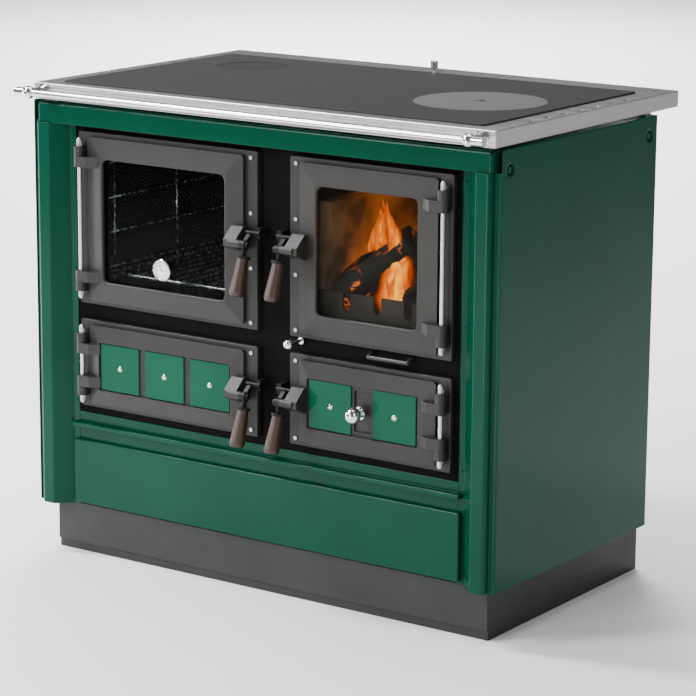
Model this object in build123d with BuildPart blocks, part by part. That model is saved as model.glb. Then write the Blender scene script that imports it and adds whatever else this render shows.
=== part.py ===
"""Wood burning kitchen range: enamelled casing, cast doors, oven, firebox, hob and fuel drawer.

Millimetres. +Z is up, -Y is the front, +X is to the right as seen from the front.
The origin lies on the floor at the middle of the plinth.
"""

import os
from math import cos, radians, sin
from typing import NamedTuple

from build123d import *

# ---- Overall sizes -------------------------------------------------------------------------
casing_width = 976  # across the two side panels
top_height = 855  # floor to the upper face of the worktop
top_inset = 8  # worktop edge inside the face of a side panel
top_depth = 600
top_thickness = 28
plinth_inset = 26  # plinth side inside the face of a side panel
plinth_depth = 500
plinth_height = 90
plinth_setback = 28  # plinth front behind the worktop front
plinth_rim = 40  # flange left round the open top of the plinth
toe_height = 16  # recessed strip along the foot of the plinth
toe_recess = 4

# ---- Stock and fits ------------------------------------------------------------------------
sheet = 2  # folded sheet steel
plate = 6  # front plate
casting = 10  # door surrounds
seat_gap = 0.3  # between two pieces that only meet
running = 0.08  # radial clearance of a turning or sliding rod
loose = 0.6  # radial clearance of a rod that only passes through

# ---- Casing front --------------------------------------------------------------------------
column_proud = 4  # column face in front of the worktop edge
bar_behind = 1  # top bar face behind the worktop edge
lip_behind = 24  # opening lip behind the worktop edge
panel_behind = 9  # side panel front edge behind the worktop edge
panel_top_gap = 4  # side panel top below the worktop
panel_back_gap = 90  # side panel back edge in front of the worktop back edge
opening_side = 83  # opening edge to the outside of the casing
opening_below_top = 69
opening_above_plinth = 174.5
lip_width = 12
bevel_width = 29
groove_width = 12  # shadow groove between a column and its side panel
groove_depth = 14
column_return = 22  # column flange along the inside of the side panel
panel_flange = 22  # side panel flanges at the back and the top
flange_start = 32  # top flange starts this far behind the front edge, clear of the top bar
bar_depth = 34
bar_round = 8  # upper front edge of the top bar
bar_corner = 6
drawer_rail_low = 18.5  # upper face of the drawer rail's lip below the opening
drawer_rail_lip = 8
drawer_rail_forward = 13
plate_inset = 3  # front plate end inside the outer edge of a column

# ---- Doors ---------------------------------------------------------------------------------
left_width = 392  # outside of the two left surrounds
right_width = 325
upper_height = 308
lower_height = 159
surround_margin = 12.5  # surround to the side of the opening
surround_top_gap = 11
surround_bottom_gap = 14.5
reveal_side = 25  # surround left showing beside a door
reveal_end = 8
door_thickness = 11.7
door_bevel = 5  # the face falls by this much from crest to outer edge
door_corner = 6
door_overlap = 12  # door laps the surround hole by this much
window_inset = 37
window_corner = 11
window_crest = 4  # flat rim round the window
pane_thickness = 4
pane_lap = 6
pocket_side = 25  # tile pocket in the two lower doors
pocket_end = 28
pocket_depth = 5
tile_size = 86
tile_thickness = 3
store_tile_pitch = 100
ash_tile_pitch = 130
ash_pocket_shift = -7

# ---- Hinges --------------------------------------------------------------------------------
rod_radius = 4
rod_inset = 12  # hinge rod inside the outer edge of its surround
lug_radius = 10
lug_height = 17
arm_height = 19
arm_reach = 40
lug_to_end = 25  # from the end of a surround to the lug, upper doors
low_lug_to_end = 23
nut_radius = 5.5
nut_height = 16

# ---- Latches -------------------------------------------------------------------------------
pivot_forward = 24  # latch pivot in front of the door face
pivot_radius = 3.5
barrel_radius = 7.5
barrel_length = 26
hub_length = 11
hub_past_edge = 17  # hub starts this far past the free edge of the door
neck_length = 20
neck_radius = 3.5
ferrule_radius = 12
ferrule_length = 5
grip_length = 64
grip_top_radius = 9.5
grip_end_radius = 13.5
grip_tilt = 18  # degrees forward
finger_reach = 22
bore_wall = 4  # left at the blind end of the pivot bore
keeper_radius = 4
wedge_inside = 17.5  # latch bracket from the free edge of the door, inwards
wedge_outside = 8
wedge_up = 26
wedge_down = 17
keeper_back = 22  # keeper pin behind the latch pivot
keeper_up = 17

# ---- Hob -----------------------------------------------------------------------------------
hob_side_strip = 42
hob_depth = 493
hob_front_strip = 31  # worktop left in front of the hob plate
hob_thickness = 8
hob_proud = 3
hob_gap = 0.5
ledge_width = 8
ledge_thickness = 4
top_skin = 5
foot_width = 14  # pads inside the worktop that stand on the casing
foot_length = 20
foot_inset = 10  # front pads inside the outer edge of a column
foot_behind = 18  # front pads behind the face of the top bar
back_foot_y = (40, 20)  # back pads in front of the back edge of the hob
ring_radius = 114
ring_x = 287
ring_y = -20
cover_radius = 65
cover_x = -295
cover_y = 119
lid_thickness = 5
lid_step = 8
lid_key_radius = 11  # key pocket in the middle of the ring lid
lid_key_depth = 3
lid_key_wire = 1.4
cover_dish = 0.6  # shallow dish in the face of the flue cover
cover_rim = 9
vent_rows = 7
vent_pitch = 52
vent_length = 17
vent_width = 3.4
vent_inset = 11

# ---- Towel rail ----------------------------------------------------------------------------
rail_radius = 6
rail_forward = 42
rail_drop = 12  # rail axis below the worktop face
rail_ball_radius = 11.5
rail_ball_inset = 25  # rail posts inside the ends of the worktop
rail_cap_past = 4  # rail caps past the ends of the worktop
rail_cap_radius = 8

# ---- Oven, firebox and compartments --------------------------------------------------------
box_depth = 416
rack_wire = 2
rack_frame = 3
rack_level = 30  # rack above the oven floor
shelf_levels = (30, 92, 154, 216)
shelf_ledge = 6
brick = 25
shell = 3
grate_thickness = 14
grate_width = 180
grate_depth = 275
grate_slot = 8
grate_pitch = 18
retainer_height = 62
retainer_notch = 8  # half width of the air notches in its upper edge
retainer_notch_depth = 22
retainer_notch_pitch = 62
pan_height = 80
flue_radius = 74  # takes a 150 mm flue pipe over it
flue_length = 55
flue_x = -295
flue_z = 738

# ---- Fuel drawer ---------------------------------------------------------------------------
drawer_past_opening = 7  # drawer front end past the edge of the opening
drawer_height = 118
drawer_foot_gap = 6
drawer_behind = 14  # drawer face behind the worktop edge
drawer_front_depth = 8
drawer_box_inset = 18  # drawer box inside the ends of its front
drawer_box_height = 100
drawer_box_depth = 465
runner_width = 20
runner_height = 30

# ---- Places worked out from the sizes ------------------------------------------------------
top_front = -plinth_depth / 2 - plinth_setback
top_back = top_front + top_depth
top_middle = (top_front + top_back) / 2
top_under = top_height - top_thickness
half_casing = casing_width / 2
half_top = half_casing - top_inset
half_plinth = half_casing - plinth_inset
column_y = top_front - column_proud
bar_y = top_front + bar_behind
lip_y = top_front + lip_behind
plate_y = lip_y + sheet
plate_back = plate_y + plate
surround_y = plate_y - casting
door_back = surround_y - seat_gap
door_y = door_back - door_thickness
panel_front = top_front + panel_behind
panel_back = top_back - panel_back_gap
panel_top = top_under - panel_top_gap
opening_half = half_casing - opening_side
drawer_half = opening_half + drawer_past_opening
drawer_box_half = drawer_half - drawer_box_inset
opening_top = top_height - opening_below_top
opening_bottom = plinth_height + opening_above_plinth
rod_y = door_y
box_back = plate_back + box_depth
pivot_y = door_y - pivot_forward


class Bay(NamedTuple):
    """One door and its surround: outer edges, and the side that carries the hinge."""

    name: str
    x0: float
    x1: float
    z0: float
    z1: float
    hinge: int  # -1 on the left, +1 on the right

    @property
    def rod_x(self):
        return self.x0 + rod_inset if self.hinge < 0 else self.x1 - rod_inset

    @property
    def lug_inset(self):
        return lug_to_end if self.z1 - self.z0 > 250 else low_lug_to_end

    @property
    def middle(self):
        return ((self.x0 + self.x1) / 2, (self.z0 + self.z1) / 2)

    @property
    def door(self):
        """Left, right, bottom and top of the door."""
        return (
            self.x0 + reveal_side,
            self.x1 - reveal_side,
            self.z0 + reveal_end,
            self.z1 - reveal_end,
        )

    @property
    def hole(self):
        """Left, right, bottom and top of the hole that the door closes."""
        x0, x1, z0, z1 = self.door
        lap = door_overlap
        return (x0 + lap, x1 - lap, z0 + lap, z1 - lap)

    @property
    def free_edge(self):
        """X of the door edge that carries the latch."""
        return self.door[1] if self.hinge < 0 else self.door[0]


left_x0 = -(opening_half - surround_margin)
left_x1 = left_x0 + left_width
right_x1 = opening_half - surround_margin
right_x0 = right_x1 - right_width
upper_z1 = opening_top - surround_top_gap
upper_z0 = upper_z1 - upper_height
lower_z0 = opening_bottom + surround_bottom_gap
lower_z1 = lower_z0 + lower_height
strip_z = upper_z0 - 7  # pull rods come out between the two rows of doors

oven = Bay("oven", left_x0, left_x1, upper_z0, upper_z1, -1)
fire = Bay("fire", right_x0, right_x1, upper_z0, upper_z1, 1)
store = Bay("store", left_x0, left_x1, lower_z0, lower_z1, -1)
ash = Bay("ash", right_x0, right_x1, lower_z0, lower_z1, 1)
bays = (oven, fire, store, ash)

os.makedirs("parts", exist_ok=True)


def save(part, label):
    """Labels a finished piece and writes its STEP file."""
    part.label = label
    export_step(part, f"parts/{label}.step")


def block(x, y, z, mode=Mode.ADD):
    """A box between two X, two Y and two Z values, inside the part being built."""
    with Locations(((x[0] + x[1]) / 2, (y[0] + y[1]) / 2, (z[0] + z[1]) / 2)):
        Box(abs(x[1] - x[0]), abs(y[1] - y[0]), abs(z[1] - z[0]), mode=mode)


def rod(start, end, radius, mode=Mode.ADD):
    """A round bar between two points, inside the part being built."""
    axis = Vector(*end) - Vector(*start)
    with Locations(Plane(origin=start, z_dir=axis.normalized())):
        Cylinder(radius, axis.length, align=(Align.CENTER, Align.CENTER, Align.MIN), mode=mode)


def tray(x, y, z, wall, open_side):
    """A sheet metal box, open on one side: 'front' or 'top'."""
    with BuildPart() as box:
        block(x, y, z)
        inner_y = (y[0] - wall if open_side == "front" else y[0] + wall, y[1] - wall)
        inner_z = (z[0] + wall, z[1] + wall if open_side == "top" else z[1] - wall)
        block((x[0] + wall, x[1] - wall), inner_y, inner_z, mode=Mode.SUBTRACT)
    return box.part


# ---- Plinth and casing ---------------------------------------------------------------------
plinth_y = plinth_depth / 2

with BuildPart() as plinth:
    block((-half_plinth, half_plinth), (-plinth_y, plinth_y), (0, plinth_height))
    block(
        (-half_plinth + sheet, half_plinth - sheet),
        (-plinth_y + sheet + toe_recess, plinth_y - sheet),
        (sheet, plinth_height - sheet),
        mode=Mode.SUBTRACT,
    )
    block(
        (-half_plinth + plinth_rim, half_plinth - plinth_rim),
        (-plinth_y + plinth_rim, plinth_y - plinth_rim),
        (plinth_height - sheet, plinth_height),
        mode=Mode.SUBTRACT,
    )
    block(
        (-half_plinth, half_plinth),
        (-plinth_y, -plinth_y + toe_recess),
        (0, toe_height),
        mode=Mode.SUBTRACT,
    )
save(plinth.part, "plinth")

floor_half = half_casing - sheet - seat_gap
with BuildPart() as floor_pan:
    floor_y = (column_y + groove_depth + column_return + 1, panel_back - sheet)
    block((-floor_half, floor_half), floor_y, (plinth_height, plinth_height + sheet))
save(floor_pan.part, "floor_pan")


cup_radius = 12  # dished bolt seats in the side panels
cup_depth = 6
cup_wall = 2.5
bolt_radius = 6.5
lip_screw_radius = 2.6
lip_screw_height = 1.6
cup_z = panel_top - 34
cup_places = (panel_front + 23, panel_back - 26)
lip_screw_zs = (opening_top - 22, (opening_top + opening_bottom) / 2, opening_bottom + 20)


def side_panel(side):
    """Enamelled side with flanges turned in at the back, the top and the foot."""
    outer = side * half_casing
    inner = outer - side * sheet
    flange = outer - side * panel_flange
    with BuildPart() as panel:
        block((outer, inner), (panel_front, panel_back), (plinth_height, panel_top))
        block((outer, flange), (panel_back - sheet, panel_back), (plinth_height, panel_top))
        top_z = (panel_top - sheet, panel_top)
        block((outer, flange), (panel_front + flange_start, panel_back), top_z)
        rim = panel.edges().filter_by(Axis.Y).filter_by_position(Axis.X, outer - 0.1, outer + 0.1)
        fillet(rim.filter_by_position(Axis.Z, panel_top - 0.1, panel_top + 0.1), sheet * 0.8)
        for y in cup_places:
            rod((outer + side, y, cup_z), (inner - side, y, cup_z), cup_radius, mode=Mode.SUBTRACT)
    return panel.part


save(side_panel(-1), "side_panel_left")
save(side_panel(1), "side_panel_right")

with BuildPart() as casing_bolts:
    for side in (-1, 1):
        face = side * (half_casing - 1)
        bottom = face - side * cup_depth
        for y in cup_places:
            rod((face, y, cup_z), (bottom, y, cup_z), cup_radius - seat_gap)
            hollow = (bottom + side * 1.5, y, cup_z)
            rod((face, y, cup_z), hollow, cup_radius - cup_wall, mode=Mode.SUBTRACT)
            with BuildSketch(Plane((bottom, y, cup_z), z_dir=(side, 0, 0))):
                RegularPolygon(bolt_radius, 6)
            extrude(amount=cup_depth - 0.5)
        x = side * (opening_half + lip_width / 2)
        for z in lip_screw_zs:
            rod((x, lip_y - lip_screw_height, z), (x, lip_y, z), lip_screw_radius)
save(casing_bolts.part, "casing_bolts")

column_outer = half_casing - sheet - groove_width
column_inner = opening_half + lip_width
column_points = [
    (opening_half, lip_y),
    (column_inner, lip_y),
    (column_inner + bevel_width, column_y),
    (column_outer, column_y),
    (column_outer, column_y + groove_depth),
    (half_casing - sheet, column_y + groove_depth),
    (half_casing - sheet, column_y + groove_depth + column_return),
]
column_radii = (2.5, 4, 8, 2.5, 2.5)


def column(side):
    """Front corner column, folded from one sheet with a cap at the head."""
    with BuildPart() as post:
        with BuildSketch(Plane.XY.offset(plinth_height)):
            with BuildLine():
                FilletPolyline(*column_points, radius=column_radii)
                offset(amount=sheet, side=Side.LEFT)
            make_face()
        extrude(amount=opening_top - plinth_height)
        with BuildSketch(Plane.XY.offset(opening_top - sheet)):
            with BuildLine():
                FilletPolyline(*column_points[1:4], (column_outer, lip_y), radius=column_radii[1:3])
                Line((column_outer, lip_y), column_points[1])
            make_face()
        extrude(amount=sheet)
        cup = (half_casing, cup_places[0], cup_z)
        rod(cup, (column_outer - 1, cup_places[0], cup_z), cup_radius + 1, mode=Mode.SUBTRACT)
    if side < 0:
        with BuildPart() as other:
            add(post.part)
            mirror(about=Plane.YZ, mode=Mode.REPLACE)
        return other.part
    return post.part


save(column(-1), "column_left")
save(column(1), "column_right")

with BuildPart() as top_bar:
    block((-column_outer, column_outer), (bar_y, bar_y + bar_depth), (opening_top, panel_top))
    fillet(top_bar.edges().filter_by(Axis.X).group_by(Axis.Y)[0].sort_by(Axis.Z)[-1], bar_round)
    fillet(top_bar.edges().filter_by(Axis.Z).group_by(Axis.Y)[0], bar_corner)
    block(
        (-column_outer + sheet, column_outer - sheet),
        (bar_y + sheet, bar_y + bar_depth + 1),
        (opening_top + sheet, panel_top - sheet),
        mode=Mode.SUBTRACT,
    )
    block(
        (-column_outer - 1, column_outer + 1),
        (plate_y - seat_gap, bar_y + bar_depth + 1),
        (opening_top - 1, panel_top - sheet),
        mode=Mode.SUBTRACT,
    )
save(top_bar.part, "top_bar")

drawer_top = plinth_height + drawer_foot_gap + drawer_height
drawer_y = top_front + drawer_behind
with BuildPart() as drawer_rail:
    web_half = opening_half - seat_gap
    block((-web_half, web_half), (lip_y, lip_y + sheet), (drawer_top - 8, opening_bottom))
    lip_top = opening_bottom - drawer_rail_low
    lip_front = lip_y - drawer_rail_forward
    block((-drawer_half, drawer_half), (lip_front, lip_y), (lip_top - drawer_rail_lip, lip_top))
    fillet(drawer_rail.edges().filter_by(Axis.X).group_by(Axis.Y)[0], 1.5)
save(drawer_rail.part, "drawer_rail")

# ---- Pull rods through the strip between the two rows of doors -----------------------------
pull_x = right_x0 + 19
pull_radius = 3
pull_knob_radius = 9
pull_forward = 40  # knob centre in front of the front plate
pull_back = 46  # inner disc behind the front plate
bail_x = (right_x0 + 165, right_x0 + 243)
bail_radius = 3.5
bail_forward = 16
bail_drop = 6
bail_back = 26  # legs reach this far behind the front plate

front_plate_low = opening_bottom - 9
with BuildPart() as front_plate:
    block(
        (-column_outer + plate_inset, column_outer - plate_inset),
        (plate_y, plate_back),
        (front_plate_low, panel_top - sheet - 1),
    )
    for bay in bays:
        x0, x1, z0, z1 = bay.hole
        block((x0, x1), (plate_y - 1, plate_back + 1), (z0, z1), mode=Mode.SUBTRACT)
    for x, radius in ((pull_x, pull_radius), (bail_x[0], bail_radius), (bail_x[1], bail_radius)):
        start = (x, plate_y - 1, strip_z)
        rod(start, (x, plate_back + 1, strip_z), radius + loose, mode=Mode.SUBTRACT)
save(front_plate.part, "front_plate")

back_y = panel_back - sheet
with BuildPart() as back_panel:
    back_z = (plinth_height + sheet, panel_top - sheet - seat_gap)
    block((-floor_half + sheet, floor_half - sheet), (back_y - sheet, back_y), back_z)
    start = (flue_x, back_y - sheet - 1, flue_z)
    rod(start, (flue_x, back_y + 1, flue_z), flue_radius - 3, mode=Mode.SUBTRACT)
save(back_panel.part, "back_panel")

flue_wall = 2
flue_flange = 4
flue_rim = 8
with BuildPart() as flue_spigot:
    rod((flue_x, back_y, flue_z), (flue_x, back_y + flue_length, flue_z), flue_radius)
    rod((flue_x, back_y, flue_z), (flue_x, back_y + flue_flange, flue_z), flue_radius + flue_rim)
    start = (flue_x, back_y - 1, flue_z)
    end = (flue_x, back_y + flue_length + 1, flue_z)
    rod(start, end, flue_radius - flue_wall, mode=Mode.SUBTRACT)
save(flue_spigot.part, "flue_spigot")

# ---- Worktop and hob -----------------------------------------------------------------------
hob_width = 2 * (half_top - hob_side_strip)
hob_front = top_front + hob_front_strip
hob_back = hob_front + hob_depth
hob_top = top_height + hob_proud
hob_under = hob_top - hob_thickness
damper_x = 7
damper_y = hob_back + 20
damper_travel = 35
stem_radius = 2.5
knob_radius = 7
knob_height = 14
knob_low = top_height + 7
damper_low = top_under + 6  # upper face of the slide plate inside the worktop
damper_plate = (90, 74, 3)  # width, depth and thickness of the slide plate

with BuildPart() as worktop:
    block((-half_top, half_top), (top_front, top_back), (top_under, top_height))
    fillet(worktop.edges().filter_by(Axis.Z), 3)
    fillet(worktop.edges().group_by(Axis.Z)[-1], 1.5)
    block(
        (-half_top + sheet, half_top - sheet),
        (top_front + sheet, top_back - sheet),
        (top_under - 1, top_height - top_skin),
        mode=Mode.SUBTRACT,
    )
    ledge_z = (hob_under - ledge_thickness, top_height - top_skin)
    hob_half = hob_width / 2 + hob_gap
    hob_y = (hob_front - hob_gap, hob_back + hob_gap)
    block((-hob_half - sheet, hob_half + sheet), (hob_y[0] - sheet, hob_y[1] + sheet), ledge_z)
    block((-hob_half, hob_half), hob_y, (hob_under, top_height + 1), mode=Mode.SUBTRACT)
    inner_half = hob_width / 2 - ledge_width
    inner_y = (hob_front + ledge_width, hob_back - ledge_width)
    block((-inner_half, inner_half), inner_y, (top_under - 1, hob_under + 1), mode=Mode.SUBTRACT)
    foot_z = (panel_top, top_height - top_skin + 1)
    for side in (-1, 1):
        back_foot_x = (side * (half_top - 1), side * (half_top - foot_width))
        block(back_foot_x, (hob_back - back_foot_y[0], hob_back - back_foot_y[1]), foot_z)
        foot_y = (bar_y + foot_behind, bar_y + foot_behind + foot_width)
        foot_x = column_outer - foot_inset
        block((side * (foot_x - foot_length), side * foot_x), foot_y, foot_z)
    vent_z = top_height - top_skin / 2
    for side in (-1, 1):
        for offset_x in (0, vent_inset / 2):
            vent_x = side * (half_top - vent_inset - offset_x)
            with Locations((vent_x, (hob_front + hob_back) / 2 + offset_x, vent_z)):
                with GridLocations(1, vent_pitch, 1, vent_rows):
                    Box(vent_width, vent_length, top_skin + 2, mode=Mode.SUBTRACT)
    slot_half = stem_radius + loose
    slot_y = (damper_y - slot_half, damper_y + damper_travel + slot_half)
    slot_z = (top_height - top_skin - 1, top_height + 1)
    block((damper_x - slot_half, damper_x + slot_half), slot_y, slot_z, mode=Mode.SUBTRACT)
save(worktop.part, "worktop")

hob_lids = (("ring_lid", ring_x, ring_y, ring_radius), ("flue_cover", cover_x, cover_y, cover_radius))
lid_floor = hob_top - lid_thickness
with BuildPart() as hob_plate:
    block((-hob_width / 2, hob_width / 2), (hob_front, hob_back), (hob_under, hob_top))
    fillet(hob_plate.edges().filter_by(Axis.Z), 6)
    chamfer(hob_plate.edges().group_by(Axis.Z)[-1], 1)
    for _, x, y, radius in hob_lids:
        rod((x, y, lid_floor), (x, y, hob_top + 1), radius + hob_gap, mode=Mode.SUBTRACT)
        rod((x, y, hob_under - 1), (x, y, hob_top), radius - lid_step, mode=Mode.SUBTRACT)
save(hob_plate.part, "hob_plate")

for name, x, y, radius in hob_lids:
    with BuildPart() as lid:
        rod((x, y, lid_floor), (x, y, hob_top), radius)
        chamfer(lid.edges().group_by(Axis.Z)[-1], 0.8)
        if name == "ring_lid":
            key_z = hob_top - lid_key_depth
            rod((x, y, key_z), (x, y, hob_top + 1), lid_key_radius, mode=Mode.SUBTRACT)
            wire_z = key_z + 1.5
            reach = lid_key_radius + 1
            rod((x - reach, y, wire_z), (x + reach, y, wire_z), lid_key_wire)
        else:
            dish_z = hob_top - cover_dish
            rod((x, y, dish_z), (x, y, hob_top + 1), radius - cover_rim, mode=Mode.SUBTRACT)
    save(lid.part, name)

with BuildPart() as damper_knob:
    rod((damper_x, damper_y, damper_low), (damper_x, damper_y, knob_low + 1), stem_radius)
    rod((damper_x, damper_y, knob_low), (damper_x, damper_y, knob_low + knob_height), knob_radius)
    chamfer(damper_knob.edges().group_by(Axis.Z)[-1], 1)
    plate_x = (damper_x - damper_plate[0] / 2, damper_x + damper_plate[0] / 2)
    slide_y = (damper_y + knob_height - damper_plate[1], damper_y + knob_height)
    block(plate_x, slide_y, (damper_low - damper_plate[2], damper_low))
save(damper_knob.part, "damper_knob")

# ---- Towel rail ----------------------------------------------------------------------------
rail_ball_x = half_top - rail_ball_inset
rail_cap_end = half_top + rail_cap_past
rail_y = top_front - rail_forward
rail_z = top_height - rail_drop
with BuildPart() as rail_tube:
    rod((-rail_cap_end + 3, rail_y, rail_z), (rail_cap_end - 3, rail_y, rail_z), rail_radius)
save(rail_tube.part, "rail_tube")

ball = (rail_ball_x, rail_y, rail_z)
post_foot = (rail_ball_x, top_front, rail_z)
bore_start = (rail_ball_x - 20, rail_y, rail_z)
bore_end = (rail_cap_end - 3, rail_y, rail_z)
with BuildPart() as rail_posts:
    with Locations(ball):
        Sphere(rail_ball_radius)
    rod(ball, post_foot, rail_radius)
    rod((rail_ball_x, top_front - 3, rail_z), post_foot, rail_ball_radius)
    rod((rail_ball_x, top_front - 8, rail_z), post_foot, rail_radius + 2.5)
    rod(ball, (rail_cap_end, rail_y, rail_z), rail_cap_radius)
    rod(bore_start, bore_end, rail_radius + running, mode=Mode.SUBTRACT)
    mirror(about=Plane.YZ)
save(rail_posts.part, "rail_posts")

# ---- Door surrounds, hinge rods and nuts ---------------------------------------------------


def lug_spans(bay):
    """Z spans of the two fixed lugs of a bay, lower one first."""
    low = bay.z0 + bay.lug_inset
    high = bay.z1 - bay.lug_inset
    return ((low, low + lug_height), (high - lug_height, high))


def arm_spans(bay):
    """Z spans of the two door arms, which turn between the lugs."""
    (_, low), (high, _) = lug_spans(bay)
    low += seat_gap
    high -= seat_gap
    return ((low, low + arm_height), (high - arm_height, high))


for bay in bays:
    x0, x1, z0, z1 = bay.hole
    with BuildPart() as surround:
        block((bay.x0, bay.x1), (surround_y, plate_y), (bay.z0, bay.z1))
        fillet(surround.edges().filter_by(Axis.Y), 3)
        chamfer(surround.faces().sort_by(Axis.Y)[0].edges(), 1)
        block((x0, x1), (surround_y - 1, plate_y + 1), (z0, z1), mode=Mode.SUBTRACT)
        for low, high in lug_spans(bay):
            with BuildSketch(Plane.XY.offset(low)):
                with Locations((bay.rod_x, rod_y)):
                    Circle(lug_radius)
                with Locations((bay.rod_x, (rod_y + surround_y) / 2)):
                    Rectangle(2 * lug_radius, surround_y - rod_y + 2)
            extrude(amount=high - low)
        start = (bay.rod_x, rod_y, bay.z0)
        rod(start, (bay.rod_x, rod_y, bay.z1), rod_radius + running, mode=Mode.SUBTRACT)
    save(surround.part, f"{bay.name}_surround")

with BuildPart() as hinge_rods:
    for bay in bays:
        (low, _), (_, high) = lug_spans(bay)
        rod((bay.rod_x, rod_y, low), (bay.rod_x, rod_y, high), rod_radius)
save(hinge_rods.part, "hinge_rods")

with BuildPart() as hinge_nuts:
    for bay in bays:
        (low, _), (_, high) = lug_spans(bay)
        for z, way in ((low, -1), (high, 1)):
            with BuildSketch(Plane((bay.rod_x, rod_y, z), z_dir=(0, 0, way))):
                RegularPolygon(nut_radius, 6)
            extrude(amount=nut_height * 0.45)
            shoulder = z + way * nut_height * 0.45
            rod((bay.rod_x, rod_y, shoulder - way), (bay.rod_x, rod_y, z + way * nut_height * 0.65), 5)
            with Locations((bay.rod_x, rod_y, z + way * nut_height * 0.65)):
                Sphere(5)
save(hinge_nuts.part, "hinge_nuts")

# ---- Doors ---------------------------------------------------------------------------------


def add_arms(bay):
    """Hinge arms from the door face to the rod, inside the door being built."""
    tip = bay.rod_x - bay.hinge * arm_reach
    middle = bay.rod_x - bay.hinge * arm_reach * 0.55
    for low, high in arm_spans(bay):
        with BuildSketch(Plane.XY.offset(low)) as arm:
            with Locations((bay.rod_x, rod_y)):
                Circle(lug_radius)
            with BuildLine():
                Polyline(
                    (bay.rod_x, rod_y - lug_radius),
                    (middle, rod_y - lug_radius),
                    (tip, door_y + 1),
                    (tip, door_y + door_bevel + 2),
                    (bay.rod_x, door_y + door_bevel + 2),
                    close=True,
                )
            make_face()
        extrude(arm.sketch, amount=high - low)
    start = (bay.rod_x, rod_y, bay.z0)
    rod(start, (bay.rod_x, rod_y, bay.z1), rod_radius + running, mode=Mode.SUBTRACT)


def latch_place(bay):
    """X of the free edge, the way past it, and the height of the latch pivot."""
    return bay.free_edge, -bay.hinge, bay.middle[1]


def add_latch_bracket(bay):
    """Wedge on the free edge of the door with the barrel that holds the latch pivot."""
    edge, way, z = latch_place(bay)
    inner = edge + way * (hub_past_edge - barrel_length)
    outer = edge + way * (hub_past_edge - seat_gap)
    wedge_start = edge - way * wedge_inside
    with BuildSketch(Plane((wedge_start, 0, 0), x_dir=(0, 1, 0), z_dir=(1, 0, 0))) as wedge:
        with BuildLine():
            Polyline(
                (door_y + door_bevel + 2, z + wedge_up),
                (door_y - 5, z + wedge_up),
                (pivot_y - 4, z + 6),
                (pivot_y - 4, z - 6),
                (door_y - 5, z - wedge_down),
                (door_y + door_bevel + 2, z - wedge_down),
                close=True,
            )
        make_face()
    extrude(wedge.sketch, amount=way * (wedge_inside + wedge_outside))
    rod((inner, pivot_y, z), (outer, pivot_y, z), barrel_radius)
    bore_end = (inner + way * bore_wall, pivot_y, z)
    rod((outer + way, pivot_y, z), bore_end, pivot_radius + running, mode=Mode.SUBTRACT)


def outline(bay, inset_x, inset_z, y, corner):
    """Rounded rectangle inside a door outline, on a plane that faces the front."""
    x0, x1, z0, z1 = bay.door
    with BuildSketch(Plane.XZ.offset(-y)) as shape:
        with Locations(((x0 + x1) / 2, (z0 + z1) / 2)):
            RectangleRounded(x1 - x0 - 2 * inset_x, z1 - z0 - 2 * inset_z, corner)
    return shape.sketch


def add_leaf(bay, bevel_x, bevel_z):
    """Cast plate that rises from its outer edge to a crest round the window or tiles."""
    shoulder = door_y + door_bevel
    extrude(outline(bay, 0, 0, door_back, door_corner), amount=door_back - shoulder)
    foot = outline(bay, 0, 0, shoulder, door_corner)
    crest = outline(bay, bevel_x, bevel_z, door_y, 3)
    loft([foot.face(), crest.face()], ruled=True)


def window_frame(bay):
    """Left, right, bottom and top of the window."""
    x0, x1, z0, z1 = bay.door
    inset = window_inset
    return (x0 + inset, x1 - inset, z0 + inset, z1 - inset)


pane_y = (door_back - pane_thickness - 1.4, door_back - 1.4)
dial_x = -197
dial_z = window_frame(oven)[2] + 38
dial_radius = 19
probe_radius = 2.5
probe_length = 52

for bay in (oven, fire):
    wx0, wx1, wz0, wz1 = window_frame(bay)
    lap = pane_lap + seat_gap
    with BuildPart() as door:
        add_leaf(bay, window_inset - window_crest, window_inset - window_crest)
        window = outline(bay, window_inset, window_inset, door_back + 1, window_corner)
        extrude(window, amount=door_thickness + 2, mode=Mode.SUBTRACT)
        rim = door.faces().sort_by(Axis.Y)[0].inner_wires()[0].edges()
        fillet(rim, 2.5)
        rebate_y = (pane_y[0], door_back + 1)
        block((wx0 - lap, wx1 + lap), rebate_y, (wz0 - lap, wz1 + lap), mode=Mode.SUBTRACT)
        add_arms(bay)
        add_latch_bracket(bay)
    save(door.part, f"{bay.name}_door")

    with BuildPart() as pane:
        block((wx0 - pane_lap, wx1 + pane_lap), pane_y, (wz0 - pane_lap, wz1 + pane_lap))
        if bay is oven:
            start = (dial_x, pane_y[0] - 1, dial_z)
            rod(start, (dial_x, pane_y[1] + 1, dial_z), probe_radius + loose, mode=Mode.SUBTRACT)
    save(pane.part, f"{bay.name}_pane")

with BuildPart() as thermometer:
    rod((dial_x, pane_y[0] - 10, dial_z), (dial_x, pane_y[0], dial_z), dial_radius)
    chamfer(thermometer.edges().group_by(Axis.Y)[0], 1.5)
    start = (dial_x, pane_y[0] - 11, dial_z)
    rod(start, (dial_x, pane_y[0] - 8, dial_z), dial_radius - 3, mode=Mode.SUBTRACT)
    rod((dial_x, pane_y[0] - 1, dial_z), (dial_x, pane_y[1] + probe_length, dial_z), probe_radius)
save(thermometer.part, "thermometer")

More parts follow.
